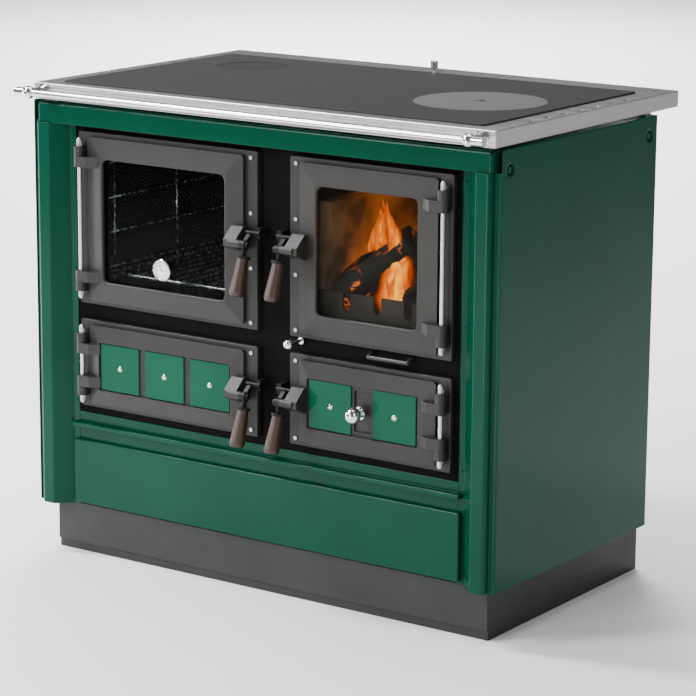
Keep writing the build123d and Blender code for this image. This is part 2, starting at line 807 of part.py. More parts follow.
tile_gap = {}
tile_rows = ((store, 3, store_tile_pitch, 0), (ash, 2, ash_tile_pitch, ash_pocket_shift))
for bay, count, pitch, shift in tile_rows:
    x0, x1, z0, z1 = bay.door
    pocket_x = (x0 + pocket_side + shift, x1 - pocket_side + shift)
    pocket_z = (z0 + pocket_end, z1 - pocket_end)
    pocket_floor = door_y + pocket_depth
    middle_x = sum(pocket_x) / 2
    tile_xs = [middle_x + (i - (count - 1) / 2) * pitch for i in range(count)]
    tile_gap[bay.name] = (middle_x, pocket_z)
    with BuildPart() as door:
        add_leaf(bay, pocket_side - 2, pocket_end - 2)
        with BuildSketch(Plane.XZ.offset(-pocket_floor)):
            with Locations((middle_x, sum(pocket_z) / 2)):
                RectangleRounded(pocket_x[1] - pocket_x[0], pocket_z[1] - pocket_z[0], 4)
        extrude(amount=pocket_depth + 1, mode=Mode.SUBTRACT)
        if bay is ash:
            slot_x = (middle_x - 17, middle_x + 17)
            slot_z = (pocket_z[0] + 8, pocket_z[1] - 8)
            block(slot_x, (door_y, door_back + 1), slot_z, mode=Mode.SUBTRACT)
            cover_x_span = (middle_x - 24, middle_x + 24)
            cover_z_span = (z0 + 4, z1 - 4)
            back_recess = (door_back - 3.6, door_back + 1)
            block(cover_x_span, back_recess, cover_z_span, mode=Mode.SUBTRACT)
        add_arms(bay)
        add_latch_bracket(bay)
    save(door.part, f"{bay.name}_door")

    with BuildPart() as tiles:
        for x in tile_xs:
            tile_z = sum(pocket_z) / 2
            block(
                (x - tile_size / 2, x + tile_size / 2),
                (pocket_floor - tile_thickness, pocket_floor),
                (pocket_z[0] + 1.5, pocket_z[1] - 1.5),
            )
        fillet(tiles.edges().filter_by(Axis.Y), 2)
        chamfer(tiles.faces().filter_by(Axis.Y).group_by(Axis.Y)[0].edges(), 0.8)
    save(tiles.part, f"{bay.name}_tiles")

air_x, air_z = tile_gap["ash"]
air_travel = 18
air_middle = sum(air_z) / 2
with BuildPart() as air_slide:
    z0, z1 = ash.door[2:]
    block(
        (air_x - 22, air_x + 22),
        (door_back - 3.3, door_back - 0.8),
        (z0 + 4 + air_travel + 1, z1 - 4 - air_travel - 1),
    )
save(air_slide.part, "air_slide")

with BuildPart() as air_knob:
    rod((air_x, door_back - 3.3, air_middle), (air_x, door_y - 12, air_middle), 5)
    rod((air_x, door_y - 5, air_middle), (air_x, door_y - 1, air_middle), 11)
    with Locations((air_x, door_y - 24, air_middle)):
        Sphere(14)
save(air_knob.part, "air_knob")

# ---- Latch handles -------------------------------------------------------------------------
tilt = radians(grip_tilt)
for bay in bays:
    edge, way, z = latch_place(bay)
    hub_start = edge + way * hub_past_edge
    hub_end = hub_start + way * hub_length
    hub_x = (hub_start + hub_end) / 2
    neck_foot = z - neck_length
    down = (0, -sin(tilt), -cos(tilt))
    ferrule_plane = Plane((hub_x, pivot_y, neck_foot), x_dir=(1, 0, 0), z_dir=down)
    finger_plane = Plane(
        (hub_x, pivot_y, z), x_dir=(1, 0, 0), z_dir=(0, keeper_back, keeper_up)
    )
    with BuildPart() as handle:
        rod((hub_start, pivot_y, z), (hub_end, pivot_y, z), barrel_radius)
        bolt_end = hub_start - way * (barrel_length - bore_wall - 2)
        rod((bolt_end, pivot_y, z), (hub_end + way * 3, pivot_y, z), pivot_radius)
        rod((hub_end, pivot_y, z), (hub_end + way * 4, pivot_y, z), 5)
        rod((hub_x, pivot_y, z), (hub_x, pivot_y, neck_foot - 1), neck_radius)
        with BuildSketch(ferrule_plane):
            Circle(ferrule_radius)
        extrude(amount=ferrule_length)
        fillet(handle.faces().sort_by(Axis.Z)[0].edges(), 1.5)
        with BuildSketch(finger_plane):
            Rectangle(hub_length - 3, 7)
        extrude(amount=finger_reach)
    save(handle.part, f"{bay.name}_handle")

    grip_start = Vector(hub_x, pivot_y, neck_foot) + Vector(*down) * ferrule_length
    with BuildPart() as grip:
        with BuildSketch(Plane(grip_start, x_dir=(1, 0, 0), z_dir=(0, cos(tilt), -sin(tilt)))):
            with BuildLine():
                Polyline(
                    (0, 0),
                    (grip_top_radius, 0),
                    (grip_end_radius, grip_length - 6),
                    (grip_end_radius - 3, grip_length),
                    (0, grip_length),
                    close=True,
                )
            make_face()
        revolve(axis=Axis(grip_start, Vector(*down)))
    save(grip.part, f"{bay.name}_grip")

with BuildPart() as latch_keepers:
    for bay in bays:
        edge, way, z = latch_place(bay)
        y = pivot_y + keeper_back
        pin_z = z + keeper_up
        hub_x = edge + way * (hub_past_edge + hub_length / 2)
        near = hub_x - way * 10
        far = hub_x + way * 19
        rod((near, y, pin_z), (far, y, pin_z), keeper_radius)
        foot = hub_x + way * 10
        block((foot, far), (y, plate_y), (pin_z - 9, pin_z + 9))
save(latch_keepers.part, "latch_keepers")

# ---- Small screws --------------------------------------------------------------------------
screw_radius = 3.5
screw_height = 2.2


def screw_rows(bay):
    """X and Z of the screws that hold a surround, along its latch side."""
    x = bay.x1 - 13 if bay.hinge < 0 else bay.x0 + 13
    rows = 4 if bay.z1 - bay.z0 > 250 else 2
    first = bay.z0 + 12
    step = (bay.z1 - bay.z0 - 24) / (rows - 1)
    return [(x, first + i * step) for i in range(rows)]


with BuildPart() as plate_screws:
    for bay in bays:
        for x, z in screw_rows(bay):
            rod((x, surround_y - screw_height, z), (x, surround_y, z), screw_radius)
save(plate_screws.part, "plate_screws")

# ---- Oven, firebox and compartments --------------------------------------------------------


def behind(bay, wall):
    """X and Z spans of a box of the given wall that lines the hole of a bay."""
    x0, x1, z0, z1 = bay.hole
    return (x0 - wall, x1 + wall), (z0 - wall, z1 + wall)


oven_x, oven_z = behind(oven, sheet)
oven_floor = oven_z[0] + sheet
with BuildPart() as oven_box:
    add(tray(oven_x, (plate_back, box_back), oven_z, sheet, "front"))
    for level in shelf_levels:
        z = oven_floor + level
        for wall_x, way in ((oven_x[0] + sheet, 1), (oven_x[1] - sheet, -1)):
            block((wall_x, wall_x + way * shelf_ledge), (plate_back + 12, box_back - sheet), (z - 3, z))
save(oven_box.part, "oven_box")

rack_z = oven_floor + rack_level + rack_frame
rack_x = (oven_x[0] + sheet + rack_frame + 1.5, oven_x[1] - sheet - rack_frame - 1.5)
rack_y = (plate_back + 20, box_back - 20)
rack_wires = 12
with BuildPart() as oven_rack:
    for x in rack_x:
        rod((x, rack_y[0], rack_z), (x, rack_y[1], rack_z), rack_frame)
        for y in rack_y:
            with Locations((x, y, rack_z)):
                Sphere(rack_frame)
    for y in rack_y:
        rod((rack_x[0], y, rack_z), (rack_x[1], y, rack_z), rack_frame)
    for i in range(1, rack_wires):
        x = rack_x[0] + (rack_x[1] - rack_x[0]) * i / rack_wires
        rod((x, rack_y[0], rack_z), (x, rack_y[1], rack_z), rack_wire)
save(oven_rack.part, "oven_rack")

store_x, store_z = behind(store, sheet)
save(tray(store_x, (plate_back, box_back), store_z, sheet, "front"), "store_box")

fire_x, fire_z = behind(fire, shell)
fire_floor = fire_z[0] - 11
fire_back = 129
inner_fire = fire.hole[:2]
notch_x = (fire.middle[0] + 32, fire.middle[0] + 52)
grate_x = (fire.middle[0] - grate_width / 2, fire.middle[0] + grate_width / 2)
grate_y = (-185, -185 + grate_depth)
shake = 20
flue_port_y = (-40, 60)  # gases leave the firebox towards the oven through this port
with BuildPart() as firebox_shell:
    add(tray(fire_x, (plate_back, fire_back), (fire_floor - shell, fire_z[1]), shell, "front"))
    hole_x = (grate_x[0] + 8, grate_x[1] - 8)
    hole_y = (grate_y[0] + 10, grate_y[1] - shake - 10)
    hole_z = (fire_floor - shell - 1, fire_floor + 1)
    block(hole_x, hole_y, hole_z, mode=Mode.SUBTRACT)
    block(notch_x, (grate_y[0] - 7, grate_y[0] + 12), hole_z, mode=Mode.SUBTRACT)
    flue_port_z = (fire_z[1] - 42, fire_z[1] - 14)
    block((fire_x[0] - 1, inner_fire[0] + 1), flue_port_y, flue_port_z, mode=Mode.SUBTRACT)
save(firebox_shell.part, "firebox_shell")

brick_top = fire_z[1] - 60
side_brick_y = (plate_back + 16, fire_back - shell - brick - seat_gap)
with BuildPart() as firebricks:
    block((inner_fire[0], inner_fire[0] + brick), side_brick_y, (fire_floor, brick_top))
    block((inner_fire[1] - brick, inner_fire[1]), side_brick_y, (fire_floor, brick_top))
    block(inner_fire, (fire_back - shell - brick, fire_back - shell), (fire_floor, brick_top))
save(firebricks.part, "firebricks")

retainer_y = (plate_back + 6, plate_back + 10)
retainer_top = fire.hole[2] + retainer_height
with BuildPart() as fuel_retainer:
    block((inner_fire[0], inner_fire[1]), retainer_y, (fire_floor, retainer_top))
    fillet(fuel_retainer.edges().filter_by(Axis.Y).group_by(Axis.Z)[-1], 12)
    notch_low = retainer_top - retainer_notch_depth
    cut_y = (retainer_y[0] - 1, retainer_y[1] + 1)
    for step in (-1, 0, 1):
        x = fire.middle[0] + step * retainer_notch_pitch
        rod((x, cut_y[0], notch_low), (x, cut_y[1], notch_low), retainer_notch, mode=Mode.SUBTRACT)
        notch = (x - retainer_notch, x + retainer_notch)
        block(notch, cut_y, (notch_low, retainer_top + 1), mode=Mode.SUBTRACT)
save(fuel_retainer.part, "fuel_retainer")

grate_z = (fire_floor + seat_gap, fire_floor + seat_gap + grate_thickness)
with BuildPart() as grate:
    block(grate_x, grate_y, grate_z)
    slots = int((grate_width - 20) // grate_pitch)
    middle = (sum(grate_x) / 2, sum(grate_y) / 2, sum(grate_z) / 2)
    with Locations(middle):
        with GridLocations(grate_pitch, 1, slots, 1):
            Box(grate_slot, grate_depth - 40, grate_thickness + 2, mode=Mode.SUBTRACT)
save(grate.part, "grate")

ash_x, ash_z = behind(ash, sheet)
with BuildPart() as ash_box:
    ash_top = fire_floor - shell
    add(tray(ash_x, (plate_back, fire_back), (ash_z[0], ash_top + sheet), sheet, "front"))
    roof_y = (plate_back - 1, fire_back + 1)
    block((ash_x[0] - 1, ash_x[1] + 1), roof_y, (ash_top, ash_top + 3), mode=Mode.SUBTRACT)
save(ash_box.part, "ash_box")

pan_x = (ash.middle[0] - 115, ash.middle[0] + 115)
pan_y = (plate_back + 14, 60)
pan_z = (ash_z[0] + sheet, ash_z[0] + sheet + pan_height)
with BuildPart() as ash_pan:
    add(tray(pan_x, pan_y, pan_z, 1.5, "top"))
    grip_z = pan_z[1] - 26
    grip_y = pan_y[0] - 10
    grip_x = (ash.middle[0] - 35, ash.middle[0] + 35)
    for x in grip_x:
        rod((x, grip_y, grip_z), (x, pan_y[0] + 1, grip_z), rack_frame)
        with Locations((x, grip_y, grip_z)):
            Sphere(rack_frame)
    rod((grip_x[0], grip_y, grip_z), (grip_x[1], grip_y, grip_z), rack_frame)
save(ash_pan.part, "ash_pan")

# ---- Pull rods and shaker ------------------------------------------------------------------
with BuildPart() as bypass_rod:
    knob = (pull_x, plate_y - pull_forward, strip_z)
    rod(knob, (pull_x, plate_back + pull_back, strip_z), pull_radius)
    rod((pull_x, plate_back + pull_back - 4, strip_z), (pull_x, plate_back + pull_back, strip_z), 14)
    rod((pull_x, plate_y - 5, strip_z), (pull_x, plate_y - 1, strip_z), 6)
    with Locations(knob):
        Sphere(pull_knob_radius)
save(bypass_rod.part, "bypass_rod")

bail_bend_y = plate_y - 6
bail_bar = (plate_y - bail_forward, strip_z - bail_drop)
bail_end = plate_back + bail_back
tab_x = (fire.middle[0] + 36, fire.middle[0] + 48)
with BuildPart() as shaker_bail:
    for x in bail_x:
        rod((x, bail_bend_y, strip_z), (x, bail_end, strip_z), bail_radius)
        rod((x, bail_bend_y, strip_z), (x, *bail_bar), bail_radius)
        for y, z in ((bail_bend_y, strip_z), bail_bar):
            with Locations((x, y, z)):
                Sphere(bail_radius)
    rod((bail_x[0], *bail_bar), (bail_x[1], *bail_bar), bail_radius)
    bar_z = (strip_z - bail_radius, strip_z + bail_radius)
    block((bail_x[0] - 6, bail_x[1] + 6), (bail_end - 2, bail_end + 4), bar_z)
    block(tab_x, (bail_end, grate_y[0] + 26), (strip_z - bail_radius, strip_z))
    block(tab_x, (grate_y[0] + 20, grate_y[0] + 26), (strip_z - bail_radius, grate_z[0]))
save(shaker_bail.part, "shaker_bail")

# ---- Fuel drawer ---------------------------------------------------------------------------
drawer_low = plinth_height + drawer_foot_gap
drawer_back = drawer_y + drawer_front_depth
with BuildPart() as drawer_front:
    block((-drawer_half, drawer_half), (drawer_y, drawer_back), (drawer_low, drawer_top))
    fillet(drawer_front.edges().filter_by(Axis.Y), 2.5)
    fillet(drawer_front.faces().sort_by(Axis.Y)[0].edges(), 2)
    block(
        (-drawer_half + sheet, drawer_half - sheet),
        (drawer_y + sheet, drawer_back + 1),
        (drawer_low + sheet, drawer_top - sheet),
        mode=Mode.SUBTRACT,
    )
save(drawer_front.part, "drawer_front")

box_low = drawer_low - 1
drawer_box = tray(
    (-drawer_box_half, drawer_box_half),
    (drawer_back, drawer_back + drawer_box_depth),
    (box_low, box_low + drawer_box_height),
    sheet,
    "top",
)
save(drawer_box, "drawer_box")

runner_top = box_low - seat_gap
guide_x = drawer_box_half + 1
with BuildPart() as drawer_runners:
    y = (-plinth_y + 10, drawer_back + drawer_box_depth)
    for side in (-1, 1):
        block((side * (guide_x - runner_width), side * guide_x), y, (plinth_height + sheet, runner_top))
        guide_z = (plinth_height + sheet, plinth_height + sheet + runner_height)
        block((side * guide_x, side * (guide_x + 3)), y, guide_z)
save(drawer_runners.part, "drawer_runners")
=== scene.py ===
"""Looks for a wood burning kitchen range: enamel, castings, steel, glass, fire, floor and light."""

import math
import random

import bmesh
import bpy
from bpy.props import FloatProperty, FloatVectorProperty, IntProperty, PointerProperty
from mathutils import Matrix, Vector, noise


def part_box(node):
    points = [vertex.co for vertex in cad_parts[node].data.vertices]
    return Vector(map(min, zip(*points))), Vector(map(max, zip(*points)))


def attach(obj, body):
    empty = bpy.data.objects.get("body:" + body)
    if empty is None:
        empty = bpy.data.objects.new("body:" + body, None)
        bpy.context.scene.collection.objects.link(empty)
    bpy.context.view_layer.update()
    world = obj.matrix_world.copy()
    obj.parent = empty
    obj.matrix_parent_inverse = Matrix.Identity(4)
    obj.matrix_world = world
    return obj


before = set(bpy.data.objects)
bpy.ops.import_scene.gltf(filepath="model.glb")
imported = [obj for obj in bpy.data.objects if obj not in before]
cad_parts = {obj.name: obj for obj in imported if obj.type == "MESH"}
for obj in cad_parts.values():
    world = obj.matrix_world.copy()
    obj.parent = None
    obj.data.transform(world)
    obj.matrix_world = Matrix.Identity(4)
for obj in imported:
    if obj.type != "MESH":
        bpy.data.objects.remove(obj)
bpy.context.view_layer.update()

bl_info = {
    "name": "Wood burning range looks",
    "version": (1, 0, 0),
    "blender": (4, 5, 0),
    "location": "3D View > Sidebar > Range",
    "description": "Finishes, small fittings, fire and stage for a wood burning range",
    "category": "Object",
}

MM = 0.001


def linear(code):
    """Linear colour, with alpha, of an sRGB hex value."""
    parts = [int(code[i : i + 2], 16) / 255 for i in (1, 3, 5)]
    return tuple(c / 12.92 if c <= 0.04045 else ((c + 0.055) / 1.055) ** 2.4 for c in parts) + (1.0,)


def shaded(colour, factor):
    """A linear colour made darker or lighter."""
    return tuple(min(1, c * factor) for c in colour[:3]) + (1,)


def grey(value):
    """A neutral linear colour with alpha."""
    return (value, value, value, 1.0)


def per_mm(size):
    """Texture scale that gives features of a size in millimetres."""
    return 1 / (size * MM)


# ---- Materials -----------------------------------------------------------------------------


def add_node(tree, kind, inputs=None, stops=(), **settings):
    """Adds one node, sets its properties and colour stops, and sets or links its sockets."""
    made = tree.nodes.new(kind)
    for name, value in settings.items():
        setattr(made, name, value)
    for socket, value in (inputs or {}).items():
        if isinstance(value, bpy.types.NodeSocket):
            tree.links.new(value, made.inputs[socket])
        else:
            made.inputs[socket].default_value = value
    if stops:
        bar = made.color_ramp.elements
        while len(bar) < len(stops):
            bar.new(0.5)
        for element, (place, colour) in zip(bar, stops):
            element.position = place
            element.color = colour
    return made


def new_material(name):
    """A node material that holds only its output, and its tree."""
    made = bpy.data.materials.new(name)
    made.use_nodes = True
    made.node_tree.nodes.clear()
    made.node_tree.nodes.new("ShaderNodeOutputMaterial")
    return made, made.node_tree


def finish_with(tree, shader):
    """Links a shader's first output to the material's output."""
    tree.links.new(shader.outputs[0], tree.nodes["Material Output"].inputs["Surface"])


def stretched(tree, scale=(1, 1, 1)):
    """Object coordinates, scaled differently along each axis."""
    place = add_node(tree, "ShaderNodeTexCoord").outputs["Object"]
    return add_node(tree, "ShaderNodeMapping", {"Vector": place, "Scale": scale}).outputs["Vector"]


def grained(tree, height, strength, depth, edge=0.8):
    """Normals of a grained surface with its sharp edges rounded, depth and edge in millimetres."""
    rounded = add_node(tree, "ShaderNodeBevel", {"Radius": edge * MM}, samples=4).outputs["Normal"]
    inputs = {"Height": height, "Strength": strength, "Distance": depth * MM, "Normal": rounded}
    return add_node(tree, "ShaderNodeBump", inputs).outputs["Normal"]


def vitreous_enamel(name, colour, edge=2.0):
    """Glass enamel fired on sheet steel: deep colour under a hard, faintly rippled gloss."""
    made, tree = new_material(name)
    place = stretched(tree)
    cloud = add_node(tree, "ShaderNodeTexNoise", {"Vector": place, "Scale": per_mm(140)})
    stops = ((0.3, shaded(colour, 0.86)), (0.7, colour))
    tint = add_node(tree, "ShaderNodeValToRGB", {"Fac": cloud.outputs["Fac"]}, stops)
    # Orange peel ripples of fired enamel are about 5 mm across and very shallow.
    peel = add_node(tree, "ShaderNodeTexNoise", {"Vector": place, "Scale": per_mm(5), "Detail": 2})
    inputs = {
        "Base Color": tint.outputs["Color"],
        "Roughness": 0.12,
        "IOR": 1.22,
        "Normal": grained(tree, peel.outputs["Fac"], 0.05, 0.4, edge),
    }
    finish_with(tree, add_node(tree, "ShaderNodeBsdfPrincipled", inputs))
    return made


def stove_paint(name, colour, roughness=0.5, grain=1.1, relief=0.3, edge=0.9, ior=1.4):
    """Heat-resisting paint on cast iron or plate: satin, with the casting's grain under it."""
    made, tree = new_material(name)
    place = stretched(tree)
    cloud = add_node(tree, "ShaderNodeTexNoise", {"Vector": place, "Scale": per_mm(45), "Detail": 5})
    stops = ((0.3, shaded(colour, 0.82)), (0.7, shaded(colour, 1.12)))
    tint = add_node(tree, "ShaderNodeValToRGB", {"Fac": cloud.outputs["Fac"]}, stops)
    sand = add_node(tree, "ShaderNodeTexNoise", {"Vector": place, "Scale": per_mm(grain), "Detail": 3})
    stops = ((0.2, grey(roughness - 0.06)), (0.8, grey(roughness + 0.08)))
    gloss = add_node(tree, "ShaderNodeValToRGB", {"Fac": sand.outputs["Fac"]}, stops)
    inputs = {
        "Base Color": tint.outputs["Color"],
        "Roughness": gloss.outputs["Color"],
        "IOR": ior,
        "Normal": grained(tree, sand.outputs["Fac"], relief, 0.12, edge),
    }
    finish_with(tree, add_node(tree, "ShaderNodeBsdfPrincipled", inputs))
    return made


def brushed_steel(name, colour, roughness=0.3, along=(3, 600, 600)):
    """Stainless steel brushed one way: long fine scratches that spread the highlights across them."""
    made, tree = new_material(name)
    # Real scratches are finer than a tenth of a millimetre; they are drawn coarser so that they show.
    inputs = {"Vector": stretched(tree, along), "Scale": 1, "Detail": 4}
    lines = add_node(tree, "ShaderNodeTexNoise", inputs).outputs["Fac"]
    stops = ((0.3, grey(roughness - 0.08)), (0.7, grey(roughness + 0.12)))
    gloss = add_node(tree, "ShaderNodeValToRGB", {"Fac": lines}, stops)
    stops = ((0.3, shaded(colour, 0.88)), (0.7, colour))
    tint = add_node(tree, "ShaderNodeValToRGB", {"Fac": lines}, stops)
    inputs = {
        "Base Color": tint.outputs["Color"],
        "Roughness": gloss.outputs["Color"],
        "Metallic": 1.0,
        "Normal": grained(tree, lines, 0.12, 0.1),
    }
    finish_with(tree, add_node(tree, "ShaderNodeBsdfPrincipled", inputs))
    return made


def ground_iron(name, colour, roughness=0.55):
    """Cast iron ground flat and oiled: dark, with grinding streaks and open grain."""
    made, tree = new_material(name)
    inputs = {"Vector": stretched(tree, (18, 260, 260)), "Scale": 1, "Detail": 6, "Roughness": 0.7}
    streaks = add_node(tree, "ShaderNodeTexNoise", inputs).outputs["Fac"]
    inputs = {"Vector": stretched(tree), "Scale": per_mm(1.6), "Detail": 4}
    pores = add_node(tree, "ShaderNodeTexNoise", inputs).outputs["Fac"]
    both = add_node(tree, "ShaderNodeMath", {0: streaks, 1: pores}, operation="ADD").outputs[0]
    half = add_node(tree, "ShaderNodeMath", {0: both, 1: 0.5}, operation="MULTIPLY").outputs[0]
    stops = ((0.38, shaded(colour, 0.62)), (0.62, shaded(colour, 1.35)))
    tint = add_node(tree, "ShaderNodeValToRGB", {"Fac": half}, stops)
    inputs = {
        "Base Color": tint.outputs["Color"],
        "Roughness": roughness,
        "IOR": 1.18,
        "Normal": grained(tree, half, 0.25, 0.15),
    }
    finish_with(tree, add_node(tree, "ShaderNodeBsdfPrincipled", inputs))
    return made


def turned_iron(name, colour, centre):
    """Cast iron lid faced on a lathe: fine rings round its middle, lighter than the ground plate."""
    made, tree = new_material(name)
    place = add_node(tree, "ShaderNodeTexCoord").outputs["Object"]
    from_middle = add_node(tree, "ShaderNodeVectorMath", {0: place, 1: centre}, operation="SUBTRACT")
    inputs = {0: from_middle.outputs[0], 1: (1, 1, 0)}
    flat = add_node(tree, "ShaderNodeVectorMath", inputs, operation="MULTIPLY")
    radius = add_node(tree, "ShaderNodeVectorMath", {0: flat.outputs[0]}, operation="LENGTH")
    # Feed marks of a facing cut, drawn about a millimetre apart.
    inputs = {"W": radius.outputs["Value"], "Scale": per_mm(1.4), "Detail": 4}
    rings = add_node(tree, "ShaderNodeTexNoise", inputs, noise_dimensions="1D").outputs["Fac"]
    stops = ((0.3, shaded(colour, 0.75)), (0.7, colour))
    tint = add_node(tree, "ShaderNodeValToRGB", {"Fac": rings}, stops)
    inputs = {
        "Base Color": tint.outputs["Color"],
        "Roughness": 0.5,
        "Metallic": 0.3,
        "IOR": 1.2,
        "Normal": grained(tree, rings, 0.2, 0.1),
    }
    finish_with(tree, add_node(tree, "ShaderNodeBsdfPrincipled", inputs))
    return made


def chrome_plate(name, colour, roughness=0.09):
    """Bright chrome plate: mirror sharp, with faint polishing haze."""
    made, tree = new_material(name)
    inputs = {"Vector": stretched(tree), "Scale": per_mm(9), "Detail": 3}
    haze = add_node(tree, "ShaderNodeTexNoise", inputs).outputs["Fac"]
    stops = ((0.35, grey(roughness * 0.6)), (0.75, grey(roughness * 1.7)))
    gloss = add_node(tree, "ShaderNodeValToRGB", {"Fac": haze}, stops)
    rounded = add_node(tree, "ShaderNodeBevel", {"Radius": 0.5 * MM}, samples=4)
    inputs = {
        "Base Color": colour,
        "Roughness": gloss.outputs["Color"],
        "Metallic": 1.0,
        "Normal": rounded.outputs["Normal"],
    }
    finish_with(tree, add_node(tree, "ShaderNodeBsdfPrincipled", inputs))
    return made


def stained_wood(name, light, dark, tip):
    """Turned hardwood grip, stained red-brown and oiled, darker at its heel."""
    made, tree = new_material(name)
    inputs = {"Vector": stretched(tree, (260, 260, 28)), "Scale": 1, "Detail": 6, "Distortion": 1.4}
    grain = add_node(tree, "ShaderNodeTexNoise", inputs).outputs["Fac"]
    stops = ((0.32, dark), (0.5, light), (0.62, dark))
    wood = add_node(tree, "ShaderNodeValToRGB", {"Fac": grain}, stops).outputs["Color"]
    place = add_node(tree, "ShaderNodeTexCoord").outputs["Generated"]
    height = add_node(tree, "ShaderNodeSeparateXYZ", {"Vector": place}).outputs["Z"]
    stops = ((0.06, grey(1.0)), (0.2, grey(0.0)))
    heel = add_node(tree, "ShaderNodeValToRGB", {"Fac": height}, stops).outputs["Color"]
    # Sockets 0, 6 and 7 are the factor and the two colours of a colour mix.
    tint = add_node(tree, "ShaderNodeMix", {0: heel, 6: wood, 7: tip}, data_type="RGBA")
    inputs = {"Height": grain, "Strength": 0.25, "Distance": 0.2 * MM}
    bump = add_node(tree, "ShaderNodeBump", inputs)
    inputs = {
        "Base Color": tint.outputs[2],
        "Roughness": 0.5,
        "Coat Weight": 0.1,
        "Coat Roughness": 0.3,
        "Normal": bump.outputs["Normal"],
    }
    finish_with(tree, add_node(tree, "ShaderNodeBsdfPrincipled", inputs))
    return made


def stove_glass(name, tint):
    """Ceramic glass pane: see-through, smoked, with a faint film of soot that dulls it in patches."""
    made, tree = new_material(name)
    inputs = {"Vector": stretched(tree), "Scale": per_mm(60), "Detail": 3}
    film = add_node(tree, "ShaderNodeTexNoise", inputs).outputs["Fac"]
    stops = ((0.3, shaded(tint, 0.9)), (0.7, tint))
    through = add_node(tree, "ShaderNodeValToRGB", {"Fac": film}, stops).outputs["Color"]
    clear = add_node(tree, "ShaderNodeBsdfTransparent", {"Color": through}).outputs["BSDF"]
    mirror = add_node(tree, "ShaderNodeBsdfGlossy", {"Color": grey(0.9), "Roughness": 0.02})
    turn = add_node(tree, "ShaderNodeFresnel", {"IOR": 1.11}).outputs["Fac"]
    inputs = {0: turn, 1: clear, 2: mirror.outputs["BSDF"]}
    finish_with(tree, add_node(tree, "ShaderNodeMixShader", inputs))
    return made


def vermiculite(name, colour, dark_depth=-0.21, firelight_depth=-0.17):
    """Pressed vermiculite: pale, grainy and sooted, with painted orange firelight from a few centimetres
    in.
    """
    made, tree = new_material(name)
    place = stretched(tree)
    soot = add_node(tree, "ShaderNodeTexNoise", {"Vector": place, "Scale": per_mm(70), "Detail": 5})
    stops = ((0.35, shaded(colour, 0.16)), (0.75, colour))
    tint = add_node(tree, "ShaderNodeValToRGB", {"Fac": soot.outputs["Fac"]}, stops)
    # Painted firelight: a dull orange emission stands in for the flames' light falling on the bricks.
    stops = ((0.35, (0.04, 0.009, 0.0, 1)), (0.75, (0.34, 0.09, 0.005, 1)))
    glow = add_node(tree, "ShaderNodeValToRGB", {"Fac": soot.outputs["Fac"]}, stops)
    # Y grows away from the door, so the painted firelight rises from nothing at the first depth to full at
    # the second.
    depth = add_node(tree, "ShaderNodeSeparateXYZ", {"Vector": place}).outputs["Y"]
    inner = add_node(tree, "ShaderNodeMapRange", {"Value": depth, "From Min": dark_depth, "From Max": firelight_depth})
    flakes = add_node(tree, "ShaderNodeTexVoronoi", {"Vector": place, "Scale": per_mm(3.5)})
    inputs = {"Height": flakes.outputs["Distance"], "Strength": 0.5, "Distance": 0.8 * MM}
    bump = add_node(tree, "ShaderNodeBump", inputs)
    inputs = {
        "Base Color": tint.outputs["Color"],
        "Roughness": 0.9,
        "Emission Color": glow.outputs["Color"],
        "Emission Strength": inner.outputs["Result"],
        "Normal": bump.outputs["Normal"],
    }
    finish_with(tree, add_node(tree, "ShaderNodeBsdfPrincipled", inputs))
    return made


def charred_wood(name, char, ember, heat, crack=9):
    """Burning wood: black, cracked charcoal that glows in patches where the air reaches it."""
    made, tree = new_material(name)
    place = stretched(tree)
    bend = add_node(tree, "ShaderNodeTexNoise", {"Vector": place, "Scale": per_mm(16), "Detail": 4})
    inputs = {0: bend.outputs["Color"], 1: (9 * MM, 9 * MM, 9 * MM)}
    moved = add_node(tree, "ShaderNodeVectorMath", inputs, operation="MULTIPLY").outputs[0]
    bent = add_node(tree, "ShaderNodeVectorMath", {0: place, 1: moved}, operation="ADD").outputs[0]
    inputs = {"Vector": bent, "Scale": per_mm(crack)}
    cracks = add_node(tree, "ShaderNodeTexVoronoi", inputs, feature="DISTANCE_TO_EDGE")
    stops = ((0.0, grey(1.0)), (0.12, grey(0.0)))
    seams = add_node(tree, "ShaderNodeValToRGB", {"Fac": cracks.outputs["Distance"]}, stops)
    inputs = {"Vector": place, "Scale": per_mm(30), "Detail": 4}
    patches = add_node(tree, "ShaderNodeTexNoise", inputs).outputs["Fac"]
    stops = ((0.6, grey(0.0)), (0.76, grey(1.0)))
    lit = add_node(tree, "ShaderNodeValToRGB", {"Fac": patches}, stops)
    inputs = {0: seams.outputs["Color"], 1: lit.outputs["Color"]}
    glow = add_node(tree, "ShaderNodeMath", inputs, operation="MULTIPLY").outputs[0]
    # The heart of a hot patch glows all over, not only along its cracks.
    stops = ((0.7, grey(0.0)), (0.84, grey(0.5)))
    heart = add_node(tree, "ShaderNodeValToRGB", {"Fac": patches}, stops).outputs["Color"]
    both = add_node(tree, "ShaderNodeMath", {0: glow, 1: heart}, operation="ADD").outputs[0]
    power = add_node(tree, "ShaderNodeMath", {0: both, 1: heat}, operation="MULTIPLY")
    inputs = {"Height": cracks.outputs["Distance"], "Strength": 0.8, "Distance": 1.6 * MM}
    bump = add_node(tree, "ShaderNodeBump", inputs)
    inputs = {
        "Base Color": char,
        "Roughness": 0.85,
        "Emission Color": ember,
        "Emission Strength": power.outputs[0],
        "Normal": bump.outputs["Normal"],
    }
    finish_with(tree, add_node(tree, "ShaderNodeBsdfPrincipled", inputs))
    return made


